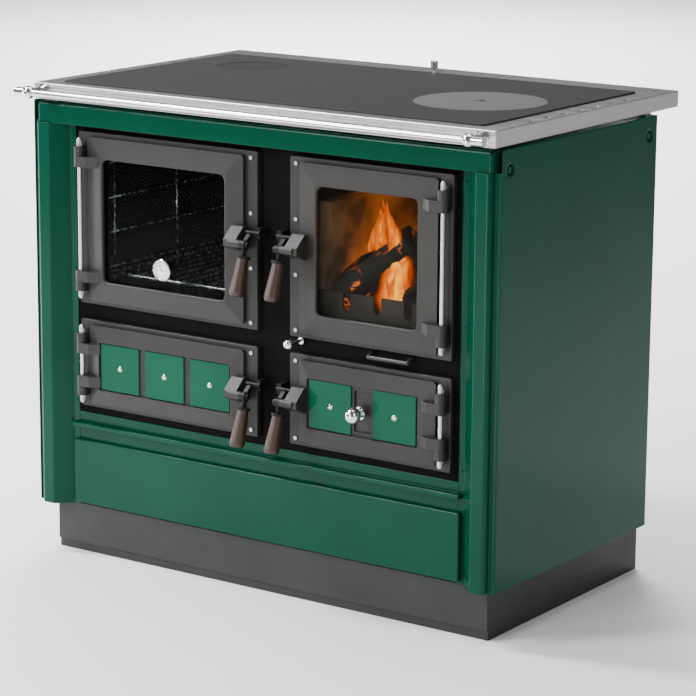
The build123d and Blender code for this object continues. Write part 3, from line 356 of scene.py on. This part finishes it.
def flame_gas(name, core, body, rim, power):
    """Burning gas: yellow at its core, orange around it, thin and torn at its edges and tip."""
    made, tree = new_material(name)
    place = add_node(tree, "ShaderNodeTexCoord").outputs["UV"]
    across = add_node(tree, "ShaderNodeSeparateXYZ", {"Vector": place})
    # Gas streams upwards, so its streaks are several times as tall as wide.
    inputs = {"Vector": stretched(tree, (75, 75, 20)), "Scale": 1, "Detail": 5, "Distortion": 1.6}
    licks = add_node(tree, "ShaderNodeTexNoise", inputs).outputs["Fac"]
    inputs = {0: across.outputs["X"], 1: 0.5}
    off = add_node(tree, "ShaderNodeMath", inputs, operation="SUBTRACT").outputs[0]
    side = add_node(tree, "ShaderNodeMath", {0: off}, operation="ABSOLUTE").outputs[0]
    stops = ((0.0, grey(1.0)), (0.26, grey(0.72)), (0.5, grey(0.0)))
    middle = add_node(tree, "ShaderNodeValToRGB", {"Fac": side}, stops).outputs["Color"]
    stops = ((0.0, grey(0.35)), (0.12, grey(1.0)), (0.6, grey(0.8)), (1.0, grey(0.0)))
    fade = add_node(tree, "ShaderNodeValToRGB", {"Fac": across.outputs["Y"]}, stops).outputs["Color"]
    shape = add_node(tree, "ShaderNodeMath", {0: middle, 1: fade}, operation="MULTIPLY").outputs[0]
    torn = add_node(tree, "ShaderNodeMath", {0: licks, 1: 1.7}, operation="MULTIPLY").outputs[0]
    heat = add_node(tree, "ShaderNodeMath", {0: shape, 1: torn}, operation="MULTIPLY").outputs[0]
    stops = ((0.2, rim), (0.5, body), (0.85, core))
    colour = add_node(tree, "ShaderNodeValToRGB", {"Fac": heat}, stops).outputs["Color"]
    stops = ((0.12, grey(0.0)), (0.42, grey(0.85)), (0.7, grey(1.0)))
    cover = add_node(tree, "ShaderNodeValToRGB", {"Fac": heat}, stops).outputs["Color"]
    lift = add_node(tree, "ShaderNodeMath", {0: heat, 1: power}, operation="MULTIPLY").outputs[0]
    light = add_node(tree, "ShaderNodeEmission", {"Color": colour, "Strength": lift})
    clear = add_node(tree, "ShaderNodeBsdfTransparent")
    inputs = {0: cover, 1: clear.outputs["BSDF"], 2: light.outputs["Emission"]}
    finish_with(tree, add_node(tree, "ShaderNodeMixShader", inputs))
    return made


def seamless_paper(name, colour):
    """Matt studio paper: even and pale, with a barely visible tooth."""
    made, tree = new_material(name)
    tooth = add_node(tree, "ShaderNodeTexNoise", {"Vector": stretched(tree), "Scale": per_mm(4)})
    bump = add_node(tree, "ShaderNodeBump", {"Height": tooth.outputs["Fac"], "Strength": 0.02})
    inputs = {"Base Color": colour, "Roughness": 0.9, "Normal": bump.outputs["Normal"]}
    finish_with(tree, add_node(tree, "ShaderNodeBsdfPrincipled", inputs))
    return made


def printed_dial(name, colour):
    """White enamelled dial, slightly mottled, under its own gloss."""
    made, tree = new_material(name)
    cloud = add_node(tree, "ShaderNodeTexNoise", {"Vector": stretched(tree), "Scale": per_mm(12)})
    stops = ((0.3, shaded(colour, 0.93)), (0.7, colour))
    tint = add_node(tree, "ShaderNodeValToRGB", {"Fac": cloud.outputs["Fac"]}, stops)
    inputs = {"Base Color": tint.outputs["Color"], "Roughness": 0.35, "Coat Weight": 0.4}
    finish_with(tree, add_node(tree, "ShaderNodeBsdfPrincipled", inputs))
    return made


# ---- Building helpers ----------------------------------------------------------------------


def paint_nodes(material, *names):
    """Gives CAD nodes a material."""
    for name in names:
        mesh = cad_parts[name].data
        mesh.materials.clear()
        mesh.materials.append(material)


def new_mesh_object(name, form, material):
    """Turns a bmesh into an object of the scene."""
    mesh = bpy.data.meshes.new(name)
    form.to_mesh(mesh)
    form.free()
    mesh.materials.append(material)
    made = bpy.data.objects.new(name, mesh)
    bpy.context.scene.collection.objects.link(made)
    return made


def new_piece(name, form, material, body):
    """Turns a bmesh into a smooth, named piece that rides on a body."""
    bmesh.ops.recalc_face_normals(form, faces=form.faces)
    made = new_mesh_object(name, form, material)
    for face in made.data.polygons:
        face.use_smooth = True
    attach(made, body)


def circle(centre, across, other, radius, sides):
    """Points round a centre, in the plane of two directions."""
    turn = [2 * math.pi * k / sides for k in range(sides)]
    return [centre + (across * math.cos(a) + other * math.sin(a)) * radius for a in turn]


def join_rings(form, first, second):
    """Joins two closed rings of as many corners with quads."""
    for i in range(len(first)):
        j = (i + 1) % len(first)
        form.faces.new((first[i], first[j], second[j], second[i]))


def loft(form, rings):
    """Joins closed rings of points with quads and closes both ends."""
    rows = [[form.verts.new(point) for point in ring] for ring in rings]
    for first, second in zip(rows, rows[1:]):
        join_rings(form, first, second)
    form.faces.new(list(reversed(rows[0])))
    form.faces.new(rows[-1])


def turned(form, start, axis, profile, sides=32):
    """Turns a profile of (distance along, radius) pairs about an axis."""
    axis = Vector(axis).normalized()
    across = axis.orthogonal().normalized()
    other = axis.cross(across)
    rings = []
    for along, radius in profile:
        rings.append(circle(Vector(start) + axis * along, across, other, radius, sides))
    loft(form, rings)


def wire(form, points, radius, sides=10):
    """A round wire through points."""
    points = [Vector(p) for p in points]
    rings = []
    for k, point in enumerate(points):
        ahead = points[min(k + 1, len(points) - 1)] - points[max(k - 1, 0)]
        ahead.normalize()
        # A direction that none of the wires runs along gives each one its first side.
        across = ahead.cross(Vector((0.3, 0.2, 1))).normalized()
        rings.append(circle(point, across, ahead.cross(across), radius, sides))
    loft(form, rings)


def closed_rope(form, points, radius, sides=8):
    """A round rope through points that lie in an upright plane, joined end to end."""
    rings = []
    for k, point in enumerate(points):
        ahead = (points[(k + 1) % len(points)] - points[k - 1]).normalized()
        across = Vector((0, 1, 0))
        ring = circle(point, across, ahead.cross(across), radius, sides)
        rings.append([form.verts.new(corner) for corner in ring])
    for k in range(len(rings)):
        join_rings(form, rings[k], rings[(k + 1) % len(rings)])


# ---- Sizes and colours that a user may change ----------------------------------------------


def length_setting(name, description, default):
    """A length, in metres, that the panel shows."""
    return FloatProperty(name=name, description=description, default=default, unit="LENGTH")


def colour_setting(name, description, code):
    """A colour that the panel shows, from its sRGB hex value."""
    default = linear(code)
    return FloatVectorProperty(name=name, description=description, size=4, subtype="COLOR", default=default)


class RangeSizes(bpy.types.PropertyGroup):
    """Sizes of the pieces that are added to the CAD model."""

    flame_height: length_setting("Flame height", "Height of the tallest flame", 0.28)
    flame_count: IntProperty(name="Flames", description="Number of flame tongues", default=20, min=1)
    log_radius: length_setting("Log radius", "Radius of a log of scale 1", 0.039)
    screw_radius: length_setting("Tile screw radius", "Radius of the screw heads in the tiles", 0.0034)
    seal_radius: length_setting("Seal radius", "Radius of the glass fibre seals behind the doors", 0.0018)


class RangeColours(bpy.types.PropertyGroup):
    """Colours of the finishes."""

    enamel: colour_setting("Enamel", "Casing enamel", "#003F2E")
    tile: colour_setting("Tiles", "Enamel of the door tiles", "#004E38")
    casting: colour_setting("Castings", "Paint of doors and surrounds", "#232220")
    front: colour_setting("Front plate", "Paint behind the doors", "#080807")
    plinth: colour_setting("Plinth", "Paint of the plinth", "#282929")
    hob: colour_setting("Hob", "Ground iron of the hob plate", "#2C2C2B")
    steel: colour_setting("Worktop", "Brushed steel of the worktop", "#D8D7D4")
    grip: colour_setting("Grips", "Stained wood of the grips", "#3C2117")


def sizes():
    """The size settings of this scene."""
    return bpy.context.scene.range_sizes


def colours():
    """The colour settings of this scene."""
    return bpy.context.scene.range_colours


BAYS = ("oven", "fire", "store", "ash")
operators = []


def step(cls):
    """Adds an operator class to the list that main and the panel go through."""
    operators.append(cls)
    return cls


# ---- Finishes of the CAD nodes -------------------------------------------------------------


@step
class FinishEnamel(bpy.types.Operator):
    """Enamel the casing, the drawer and the tiles"""

    bl_idname = "wood_range.finish_enamel"
    bl_label = "Casing enamel"

    def execute(self, context):
        casing = vitreous_enamel("vitreous_enamel_green", colours().enamel)
        paint_nodes(casing, "side_panel_left", "side_panel_right", "column_left", "column_right")
        paint_nodes(casing, "top_bar", "drawer_rail", "drawer_front")
        tile = vitreous_enamel("vitreous_enamel_tile", colours().tile, 0.6)
        paint_nodes(tile, "store_tiles", "ash_tiles")
        return {"FINISHED"}


@step
class FinishCastings(bpy.types.Operator):
    """Paint the doors, surrounds, latches and front plate"""

    bl_idname = "wood_range.finish_castings"
    bl_label = "Painted castings"

    def execute(self, context):
        iron = stove_paint("satin_stove_paint_on_cast_iron", colours().casting, 0.46)
        for bay in BAYS:
            paint_nodes(iron, f"{bay}_surround", f"{bay}_door")
        paint_nodes(iron, "air_slide")
        dull = stove_paint("matt_stove_paint_on_plate", colours().front, 0.7, 0.8, 0.15, ior=1.15)
        paint_nodes(dull, "front_plate")
        dark = stove_paint("blackened_cast_iron", linear("#171615"), 0.42, 1.0, 0.3, ior=1.25)
        paint_nodes(dark, "latch_keepers", *(f"{bay}_handle" for bay in BAYS))
        paint_nodes(stove_paint("matt_paint_on_sheet", colours().plinth, 0.5, 0.6, 0.08), "plinth")
        return {"FINISHED"}


@step
class FinishHob(bpy.types.Operator):
    """Finish the worktop, the hob plate and its lids"""

    bl_idname = "wood_range.finish_hob"
    bl_label = "Worktop and hob"

    def execute(self, context):
        paint_nodes(brushed_steel("brushed_stainless_worktop", colours().steel, 0.3), "worktop")
        paint_nodes(ground_iron("ground_cast_iron", colours().hob), "hob_plate")
        paint_nodes(ground_iron("worn_cast_iron", linear("#292929"), 0.6), "flue_cover")
        low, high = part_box("ring_lid")
        lid = turned_iron("lathe_faced_cast_iron", linear("#5C5C5A"), (low + high) / 2)
        paint_nodes(lid, "ring_lid")
        return {"FINISHED"}


@step
class FinishFittings(bpy.types.Operator):
    """Finish the rail, knobs, hinge pins, bolts and screws"""

    bl_idname = "wood_range.finish_fittings"
    bl_label = "Bright fittings"

    def execute(self, context):
        bright = chrome_plate("bright_chrome_plate", linear("#E3E3E5"))
        paint_nodes(bright, "rail_posts", "bypass_rod", "air_knob", "thermometer", "damper_knob")
        paint_nodes(chrome_plate("chromed_shelf_wire", linear("#F0F0F0"), 0.24), "oven_rack")
        tube = brushed_steel("polished_rail_tube", linear("#DADADA"), 0.2, (4, 500, 500))
        paint_nodes(tube, "rail_tube")
        rod = brushed_steel("drawn_steel_rod", linear("#C9C8C6"), 0.26, (500, 500, 6))
        paint_nodes(rod, "hinge_rods")
        zinc = brushed_steel("zinc_plated_screw", linear("#BEBDBA"), 0.34, (300, 300, 300))
        paint_nodes(zinc, "plate_screws", "hinge_nuts")
        paint_nodes(stove_paint("blackened_steel", linear("#2B2A29"), 0.3, 0.9, 0.2), "shaker_bail")
        paint_nodes(vitreous_enamel("enamelled_bolt", colours().enamel, 0.5), "casing_bolts")
        return {"FINISHED"}


@step
class FinishInside(bpy.types.Operator):
    """Finish the oven, the firebox, the compartments and the drawer"""

    bl_idname = "wood_range.finish_inside"
    bl_label = "Inner pieces"

    def execute(self, context):
        liner = vitreous_enamel("black_oven_enamel", linear("#141414"), 0.5)
        paint_nodes(liner, "oven_box", "store_box", "ash_box", "ash_pan")
        sheet = brushed_steel("galvanised_sheet", linear("#8C8F90"), 0.45, (60, 60, 60))
        paint_nodes(sheet, "drawer_box", "drawer_runners", "floor_pan", "back_panel")
        iron = stove_paint("bare_cast_iron", linear("#2E2B29"), 0.7, 1.6, 0.5)
        paint_nodes(iron, "firebox_shell", "flue_spigot", "fuel_retainer", "grate")
        paint_nodes(vermiculite("pressed_vermiculite_brick", linear("#A88560")), "firebricks")
        return {"FINISHED"}


@step
class FinishPanes(bpy.types.Operator):
    """Glaze the oven door and the fire door"""

    bl_idname = "wood_range.finish_panes"
    bl_label = "Door glass"

    def execute(self, context):
        paint_nodes(stove_glass("clear_ceramic_glass", linear("#F4F4F0")), "fire_pane")
        paint_nodes(stove_glass("smoked_oven_glass", linear("#E2E6E6")), "oven_pane")
        return {"FINISHED"}


@step
class FinishGrips(bpy.types.Operator):
    """Stain the wooden grips"""

    bl_idname = "wood_range.finish_grips"
    bl_label = "Wooden grips"

    def execute(self, context):
        dark = linear("#1D110C")
        wood = stained_wood("stained_beech_grip", colours().grip, dark, linear("#120D0B"))
        paint_nodes(wood, *(f"{bay}_grip" for bay in BAYS))
        return {"FINISHED"}


# ---- Added pieces --------------------------------------------------------------------------


@step
class AddTileScrews(bpy.types.Operator):
    """Add a domed screw with a washer in the middle of each door tile"""

    bl_idname = "wood_range.add_tile_screws"
    bl_label = "Tile screws"

    def execute(self, context):
        steel = chrome_plate("nickel_plated_screw", linear("#DDDAD4"), 0.16)
        radius = sizes().screw_radius
        rim = 0.25 * radius
        dome = [(0, radius), (rim, radius)]
        dome += [(rim + 0.35 * radius * math.sin(a), radius * math.cos(a)) for a in (0.4, 0.8, 1.2)]
        washer = [(0, radius * 1.5), (0.3 * MM, radius * 1.5)]
        tile_width = 86 * MM
        for bay, count in (("store", 3), ("ash", 2)):
            low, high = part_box(f"{bay}_tiles")
            pitch = (high.x - low.x - tile_width) / (count - 1)
            form = bmesh.new()
            for k in range(count):
                middle = Vector((low.x + tile_width / 2 + pitch * k, low.y, (low.z + high.z) / 2))
                turned(form, middle, (0, -1, 0), dome, 24)
                turned(form, middle, (0, -1, 0), washer, 24)
            new_piece(f"{bay}_tile_screws", form, steel, f"{bay}_door")
        return {"FINISHED"}


@step
class AddDial(bpy.types.Operator):
    """Add the thermometer's dial, scale marks and needle"""

    bl_idname = "wood_range.add_dial"
    bl_label = "Thermometer dial"

    def execute(self, context):
        low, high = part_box("thermometer")
        inset = 2.4 * MM
        centre = Vector(((low.x + high.x) / 2, low.y + inset, (low.z + high.z) / 2))
        radius = 15.6 * MM
        face = bmesh.new()
        turned(face, centre, (0, -1, 0), [(0, radius), (0.4 * MM, radius), (0.6 * MM, 15.2 * MM)], 48)
        white = printed_dial("white_enamelled_dial", linear("#F2F0E8"))
        new_piece("thermometer_dial", face, white, "oven_door")
        black = stove_paint("dial_ink", linear("#1A1A1A"), 0.5, 0.3, 0.02, 0.1)
        marks = bmesh.new()
        front = centre + Vector((0, -0.7 * MM, 0))
        first_angle, angle_step, mark_count = 225, 13.5, 21
        for k in range(mark_count):
            angle = math.radians(first_angle - angle_step * k)
            out = Vector((math.cos(angle), 0, math.sin(angle)))
            # Each fifth mark is longer.
            inner = 11.2 if k % 5 == 0 else 12.6
            wire(marks, [front + out * inner * MM, front + out * 14.2 * MM], 0.28 * MM, 6)
        needle_angle = 2.1
        tip = Vector((math.cos(needle_angle), 0, math.sin(needle_angle)))
        wire(marks, [front - tip * 3 * MM, front + tip * 10.5 * MM], 0.45 * MM, 6)
        turned(marks, front, (0, -1, 0), [(-0.5 * MM, 1.6 * MM), (0.5 * MM, 1.4 * MM)], 16)
        new_piece("thermometer_marks", marks, black, "oven_door")
        return {"FINISHED"}


@step
class AddOvenRails(bpy.types.Operator):
    """Add the wire side rails of the oven"""

    bl_idname = "wood_range.add_oven_rails"
    bl_label = "Oven side rails"

    def execute(self, context):
        low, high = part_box("oven_box")
        wall = 2 * MM
        reach = 5 * MM
        first_level, level_pitch, level_count = 46 * MM, 62 * MM, 4
        thin, thick = 1.6 * MM, 1.8 * MM
        form = bmesh.new()
        for x, way in ((low.x + wall, 1), (high.x - wall, -1)):
            line = x + way * reach
            for level in range(level_count):
                z = low.z + first_level + level_pitch * level
                wire(form, [(line, low.y + 16 * MM, z), (line, high.y - 20 * MM, z)], thin)
            for y in (low.y + 30 * MM, (low.y + high.y) / 2, high.y - 30 * MM):
                wire(form, [(line, y, low.z + 20 * MM), (line, y, high.z - 14 * MM)], thick)
                for z in (low.z + 28 * MM, high.z - 22 * MM):
                    wire(form, [(x, y, z), (line, y, z)], thick)
        bright = chrome_plate("chromed_rail_wire", linear("#F0F0F0"), 0.24)
        new_piece("oven_side_rails", form, bright, "range")
        return {"FINISHED"}


def bark_log(form, start, end, radius, seed, sides=28, rows=26):
    """A split log: ridged round its girth, uneven along its length, with broken ends."""
    start = Vector(start)
    end = Vector(end)
    axis = (end - start).normalized()
    across = axis.orthogonal().normalized()
    other = axis.cross(across)
    # Directions of the three split faces, in radians, and how far they lie from the heart.
    split_turns, split_depth = (0, 1.9, 4.0), 0.8
    rings = []
    for row in range(rows + 1):
        along = row / rows
        centre = start.lerp(end, along)
        # The last twentieth at each end is worn a little thinner.
        shrink = 1 - 0.07 * max(0, abs(along - 0.5) * 2 - 0.9) / 0.1
        ring = []
        for k in range(sides):
            a = 2 * math.pi * k / sides
            out = across * math.cos(a) + other * math.sin(a)
            place = Vector((math.cos(a) * 1.7, math.sin(a) * 1.7, along * 4.5 + seed * 7.3))
            lumps = 0.06 * noise.noise(place) + 0.05 * noise.noise(place * 3.1)
            rough = 1 + lumps + 0.05 * noise.noise(place * 9)
            flat = min(1, split_depth / max(math.cos(a - seed - turn) for turn in split_turns))
            jut = Vector()
            if row in (0, rows):
                jut = axis * radius * 0.3 * noise.noise(place * 2 + Vector((5, 1, 2)))
            ring.append(centre + out * radius * rough * flat * shrink + jut)
        rings.append(ring)
    loft(form, rings)


@step
class AddLogs(bpy.types.Operator):
    """Add the burning logs on the grate"""

    bl_idname = "wood_range.add_logs"
    bl_label = "Burning logs"

    def execute(self, context):
        low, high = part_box("grate")
        top = high.z
        middle = (low.x + high.x) / 2
        char = charred_wood("charred_log", linear("#0E0B0A"), linear("#FF7A12"), 2.6)
        # Name, the two ends as (from the middle, depth, above the grate), scale of the radius, seed.
        logs = (
            ("log_front", (-0.088, -0.20, 0.052), (0.022, -0.15, 0.142), 1.05, 1),
            ("log_right", (0.052, -0.19, 0.038), (-0.012, -0.02, 0.085), 0.95, 2),
            ("log_back", (-0.085, -0.07, 0.04), (0.07, -0.02, 0.075), 1.1, 3),
            ("log_low", (-0.06, -0.20, 0.034), (0.03, 0.03, 0.03), 0.95, 4),
        )
        for name, start, end, scale, seed in logs:
            form = bmesh.new()
            ends = [(middle + x, y, top + z) for x, y, z in (start, end)]
            bark_log(form, *ends, sizes().log_radius * scale, seed)
            new_piece(name, form, char, "range")
        return {"FINISHED"}


@step
class AddEmbers(bpy.types.Operator):
    """Add the bed of glowing embers"""

    bl_idname = "wood_range.add_embers"
    bl_label = "Ember bed"

    def execute(self, context):
        low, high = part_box("grate")
        edge = 12 * MM
        draw = random.Random(11)
        form = bmesh.new()
        ember_count = 170
        for _ in range(ember_count):
            size = draw.uniform(5, 12) * MM
            x = draw.uniform(low.x + edge, high.x - edge)
            y = draw.uniform(low.y + edge, high.y - 30 * MM)
            z = high.z + size * 0.55 + draw.uniform(0, 9) * MM
            middle = Vector((x, y, z))
            lump = bmesh.ops.create_icosphere(form, subdivisions=2, radius=size)
            for vert in lump["verts"]:
                push = 1 + 0.35 * noise.noise(vert.co * 180 + middle * 50)
                vert.co = Vector((vert.co.x * push, vert.co.y * push, vert.co.z * push * 0.7)) + middle
        ember = charred_wood("glowing_ember", linear("#1C110B"), linear("#FF8418"), 5.0, 5)
        new_piece("ember_bed", form, ember, "range")
        return {"FINISHED"}


def flame_ribbon(form, foot, tall, wide, sway, turn, seed, rows=40, columns=8):
    """A swaying ribbon of flame on one foot point, with its width and height in the UV layer."""
    cover = form.loops.layers.uv.new("flame")
    levels = []
    for row in range(rows + 1):
        t = row / rows
        girth = wide * (math.sin(math.pi * min(1, t * 1.05 + 0.18)) ** 0.7) * (1 - t) ** 0.6
        lean_x = 0.024 * t * math.sin(sway + 6.5 * t) + 0.024 * t * t * math.cos(sway * 2)
        lean_y = 0.01 * t * math.cos(sway + 4 * t)
        points = []
        for i in range(columns + 1):
            u = i / columns - 0.5
            ripple = 0.35 * girth * noise.noise(Vector((u * 3 + seed, t * 5, sway)))
            x = foot.x + lean_x + 2 * u * girth * math.cos(turn) + ripple
            y = foot.y + lean_y + 2 * u * girth * math.sin(turn) + ripple * 0.5
            points.append(form.verts.new((x, y, foot.z + tall * t)))
        levels.append(points)
    for row, (first, second) in enumerate(zip(levels, levels[1:])):
        for i in range(columns):
            face = form.faces.new((first[i], first[i + 1], second[i + 1], second[i]))
            corners = ((i, row), (i + 1, row), (i + 1, row + 1), (i, row + 1))
            for loop, (u, v) in zip(face.loops, corners):
                loop[cover].uv = (u / columns, v / rows)


@step
class AddFlames(bpy.types.Operator):
    """Add the flames over the logs"""

    bl_idname = "wood_range.add_flames"
    bl_label = "Flames"

    def execute(self, context):
        low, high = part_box("grate")
        middle = (low.x + high.x) / 2
        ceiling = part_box("firebox_shell")[1].z - 8 * MM
        core, body, rim = linear("#FFB624"), linear("#FF7600"), linear("#D42A00")
        gas = flame_gas("burning_gas", core, body, rim, 3.0)
        left, front = middle - 0.084, -0.195
        spread_x, spread_y = 0.155, 0.17
        draw = random.Random(5)
        for k in range(sizes().flame_count):
            # Steps of 0.382 and 0.618 of the spread keep neighbours in the list apart.
            x = left + spread_x * ((k * 0.382 + 0.2) % 1.0)
            y = front + spread_y * ((k * 0.618 + 0.35) % 1.0)
            crown = 1.0 - 0.3 * abs(x - middle - 0.01) / 0.09
            z = high.z + draw.uniform(0.012, 0.05)
            tall = min(sizes().flame_height * crown * draw.uniform(0.7, 1.0), ceiling - z)
            wide = draw.uniform(22, 40) * MM
            sway = draw.uniform(0, 6.28)
            turn = math.radians(draw.uniform(10, 55))
            form = bmesh.new()
            flame_ribbon(form, Vector((x, y, z)), tall, wide, sway, turn, k)
            new_piece(f"flame_{k + 1:02d}", form, gas, "range")
        return {"FINISHED"}


@step
class AddSeals(bpy.types.Operator):
    """Add the woven glass fibre seals behind the doors"""

    bl_idname = "wood_range.add_seals"
    bl_label = "Door seals"

    def execute(self, context):
        radius = sizes().seal_radius
        fibre = stove_paint("woven_glass_fibre", linear("#3A3835"), 0.95, 1.5, 0.9, 0.2)
        side_inset, end_inset = 42 * MM, 25 * MM
        corner = 8 * MM
        seat = -0.2623
        for bay in BAYS:
            low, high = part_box(f"{bay}_surround")
            left, right = low.x + side_inset, high.x - side_inset
            bottom, top = low.z + end_inset, high.z - end_inset
            middles = (
                (right - corner, top - corner),
                (left + corner, top - corner),
                (left + corner, bottom + corner),
                (right - corner, bottom + corner),
            )
            points = []
            for quarter, (x, z) in enumerate(middles):
                for k in range(7):
                    a = math.radians(90 * quarter + 15 * k)
                    place = (x + corner * math.cos(a), seat + radius, z + corner * math.sin(a))
                    points.append(Vector(place))
            form = bmesh.new()
            closed_rope(form, points, radius)
            new_piece(f"{bay}_door_seal", form, fibre, f"{bay}_door")
        return {"FINISHED"}


# ---- Stage ---------------------------------------------------------------------------------

CAMERA_PLACE = (2.80218, -4.01630, 1.51115)
CAMERA_TURN = (
    (0.819715, -0.133273, 0.557050),
    (0.572733, 0.179520, -0.799843),
    (0.006596, 0.974685, 0.223485),
)
CAMERA_LENS = 145.77
FLOOR_REACH = 30
MIDDLE = (0, 0, 0.45)

# Name, place, target, width, height and watts of each soft light.
# The low, narrow strips draw a thin bright line down each upright edge.
SOFT_LIGHTS = (
    ("key_left", (-1.9, -3.0, 2.6), MIDDLE, 1.0, 1.8, 140),
    ("edge_left", (-2.0, -0.8, 3.2), MIDDLE, 0.5, 1.2, 150),
    ("strip_left", (-1.75, -0.6, 0.6), (-0.49, -0.28, 0.6), 0.22, 1.1, 16),
    ("strip_front", (0.1, -1.8, 0.45), (0.0, -0.28, 0.45), 0.16, 0.85, 9),
    ("strip_right", (2.9, -1.9, 1.7), MIDDLE, 0.35, 2.0, 28),
    ("top", (0.2, 0.3, 3.0), MIDDLE, 2.2, 1.6, 45),
)


def soft_light(name, place, target, wide, high, watts, mirrored=True):
    """A rectangular soft light aimed at a point, mirrored in glossy surfaces or not."""
    lamp = bpy.data.lights.new(name, "AREA")
    lamp.shape = "RECTANGLE"
    lamp.size = wide
    lamp.size_y = high
    lamp.energy = watts
    made = bpy.data.objects.new(name, lamp)
    made.location = place
    made.visible_glossy = mirrored
    made.rotation_euler = (Vector(target) - Vector(place)).to_track_quat("-Z", "Y").to_euler()
    bpy.context.scene.collection.objects.link(made)


@step
class BuildStage(bpy.types.Operator):
    """Build the floor, the lights and the camera"""

    bl_idname = "wood_range.build_stage"
    bl_label = "Stage"

    def execute(self, context):
        form = bmesh.new()
        corners = [(x * FLOOR_REACH, y * FLOOR_REACH, 0) for x, y in ((-1, -1), (1, -1), (1, 1), (-1, 1))]
        form.faces.new([form.verts.new(corner) for corner in corners])
        paper = seamless_paper("pale_studio_paper", linear("#F4F4F4"))
        new_mesh_object("floor", form, paper)
        world = bpy.data.worlds.new("studio")
        world.use_nodes = True
        world.node_tree.nodes["Background"].inputs["Color"].default_value = (1, 1, 1, 1)
        world.node_tree.nodes["Background"].inputs["Strength"].default_value = 0.2
        context.scene.world = world
        for light in SOFT_LIGHTS:
            soft_light(*light)
        for reach in (2.4, 4.8, 8.0):
            # These light the paper behind the range, so that its outline stands clear.
            place = Vector((-0.557 * reach, 0.8 * reach, 2.8))
            below = place - Vector((0, 0, 1))
            soft_light(f"back_{reach}", place, below, 2.2, 2.2, 50 * reach, False)
        camera = bpy.data.cameras.new("camera")
        camera.sensor_width = 36
        camera.lens = CAMERA_LENS
        camera.clip_end = 50
        made = bpy.data.objects.new("camera", camera)
        made.matrix_world = Matrix.Translation(CAMERA_PLACE) @ Matrix(CAMERA_TURN).to_4x4()
        context.scene.collection.objects.link(made)
        context.scene.camera = made
        return {"FINISHED"}


# ---- Panel and registration ----------------------------------------------------------------


class RangePanel(bpy.types.Panel):
    """Lists the steps and settings of the range"""

    bl_idname = "VIEW3D_PT_wood_range"
    bl_label = "Wood burning range"
    bl_space_type = "VIEW_3D"
    bl_region_type = "UI"
    bl_category = "Range"

    def draw(self, context):
        for group in (context.scene.range_sizes, context.scene.range_colours):
            for name in group.__annotations__:
                self.layout.prop(group, name)
        for operator in operators:
            self.layout.operator(operator.bl_idname)


def register():
    """Registers every class and the settings."""
    for cls in (RangeSizes, RangeColours, *operators, RangePanel):
        bpy.utils.register_class(cls)
    bpy.types.Scene.range_sizes = PointerProperty(type=RangeSizes)
    bpy.types.Scene.range_colours = PointerProperty(type=RangeColours)


def unregister():
    """Removes what register added."""
    del bpy.types.Scene.range_colours
    del bpy.types.Scene.range_sizes
    for cls in (RangePanel, *reversed(operators), RangeColours, RangeSizes):
        bpy.utils.unregister_class(cls)


def main():
    """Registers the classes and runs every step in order."""
    register()
    for operator in operators:
        group, name = operator.bl_idname.split(".")
        getattr(getattr(bpy.ops, group), name)()


if __name__ == "__main__":
    main()
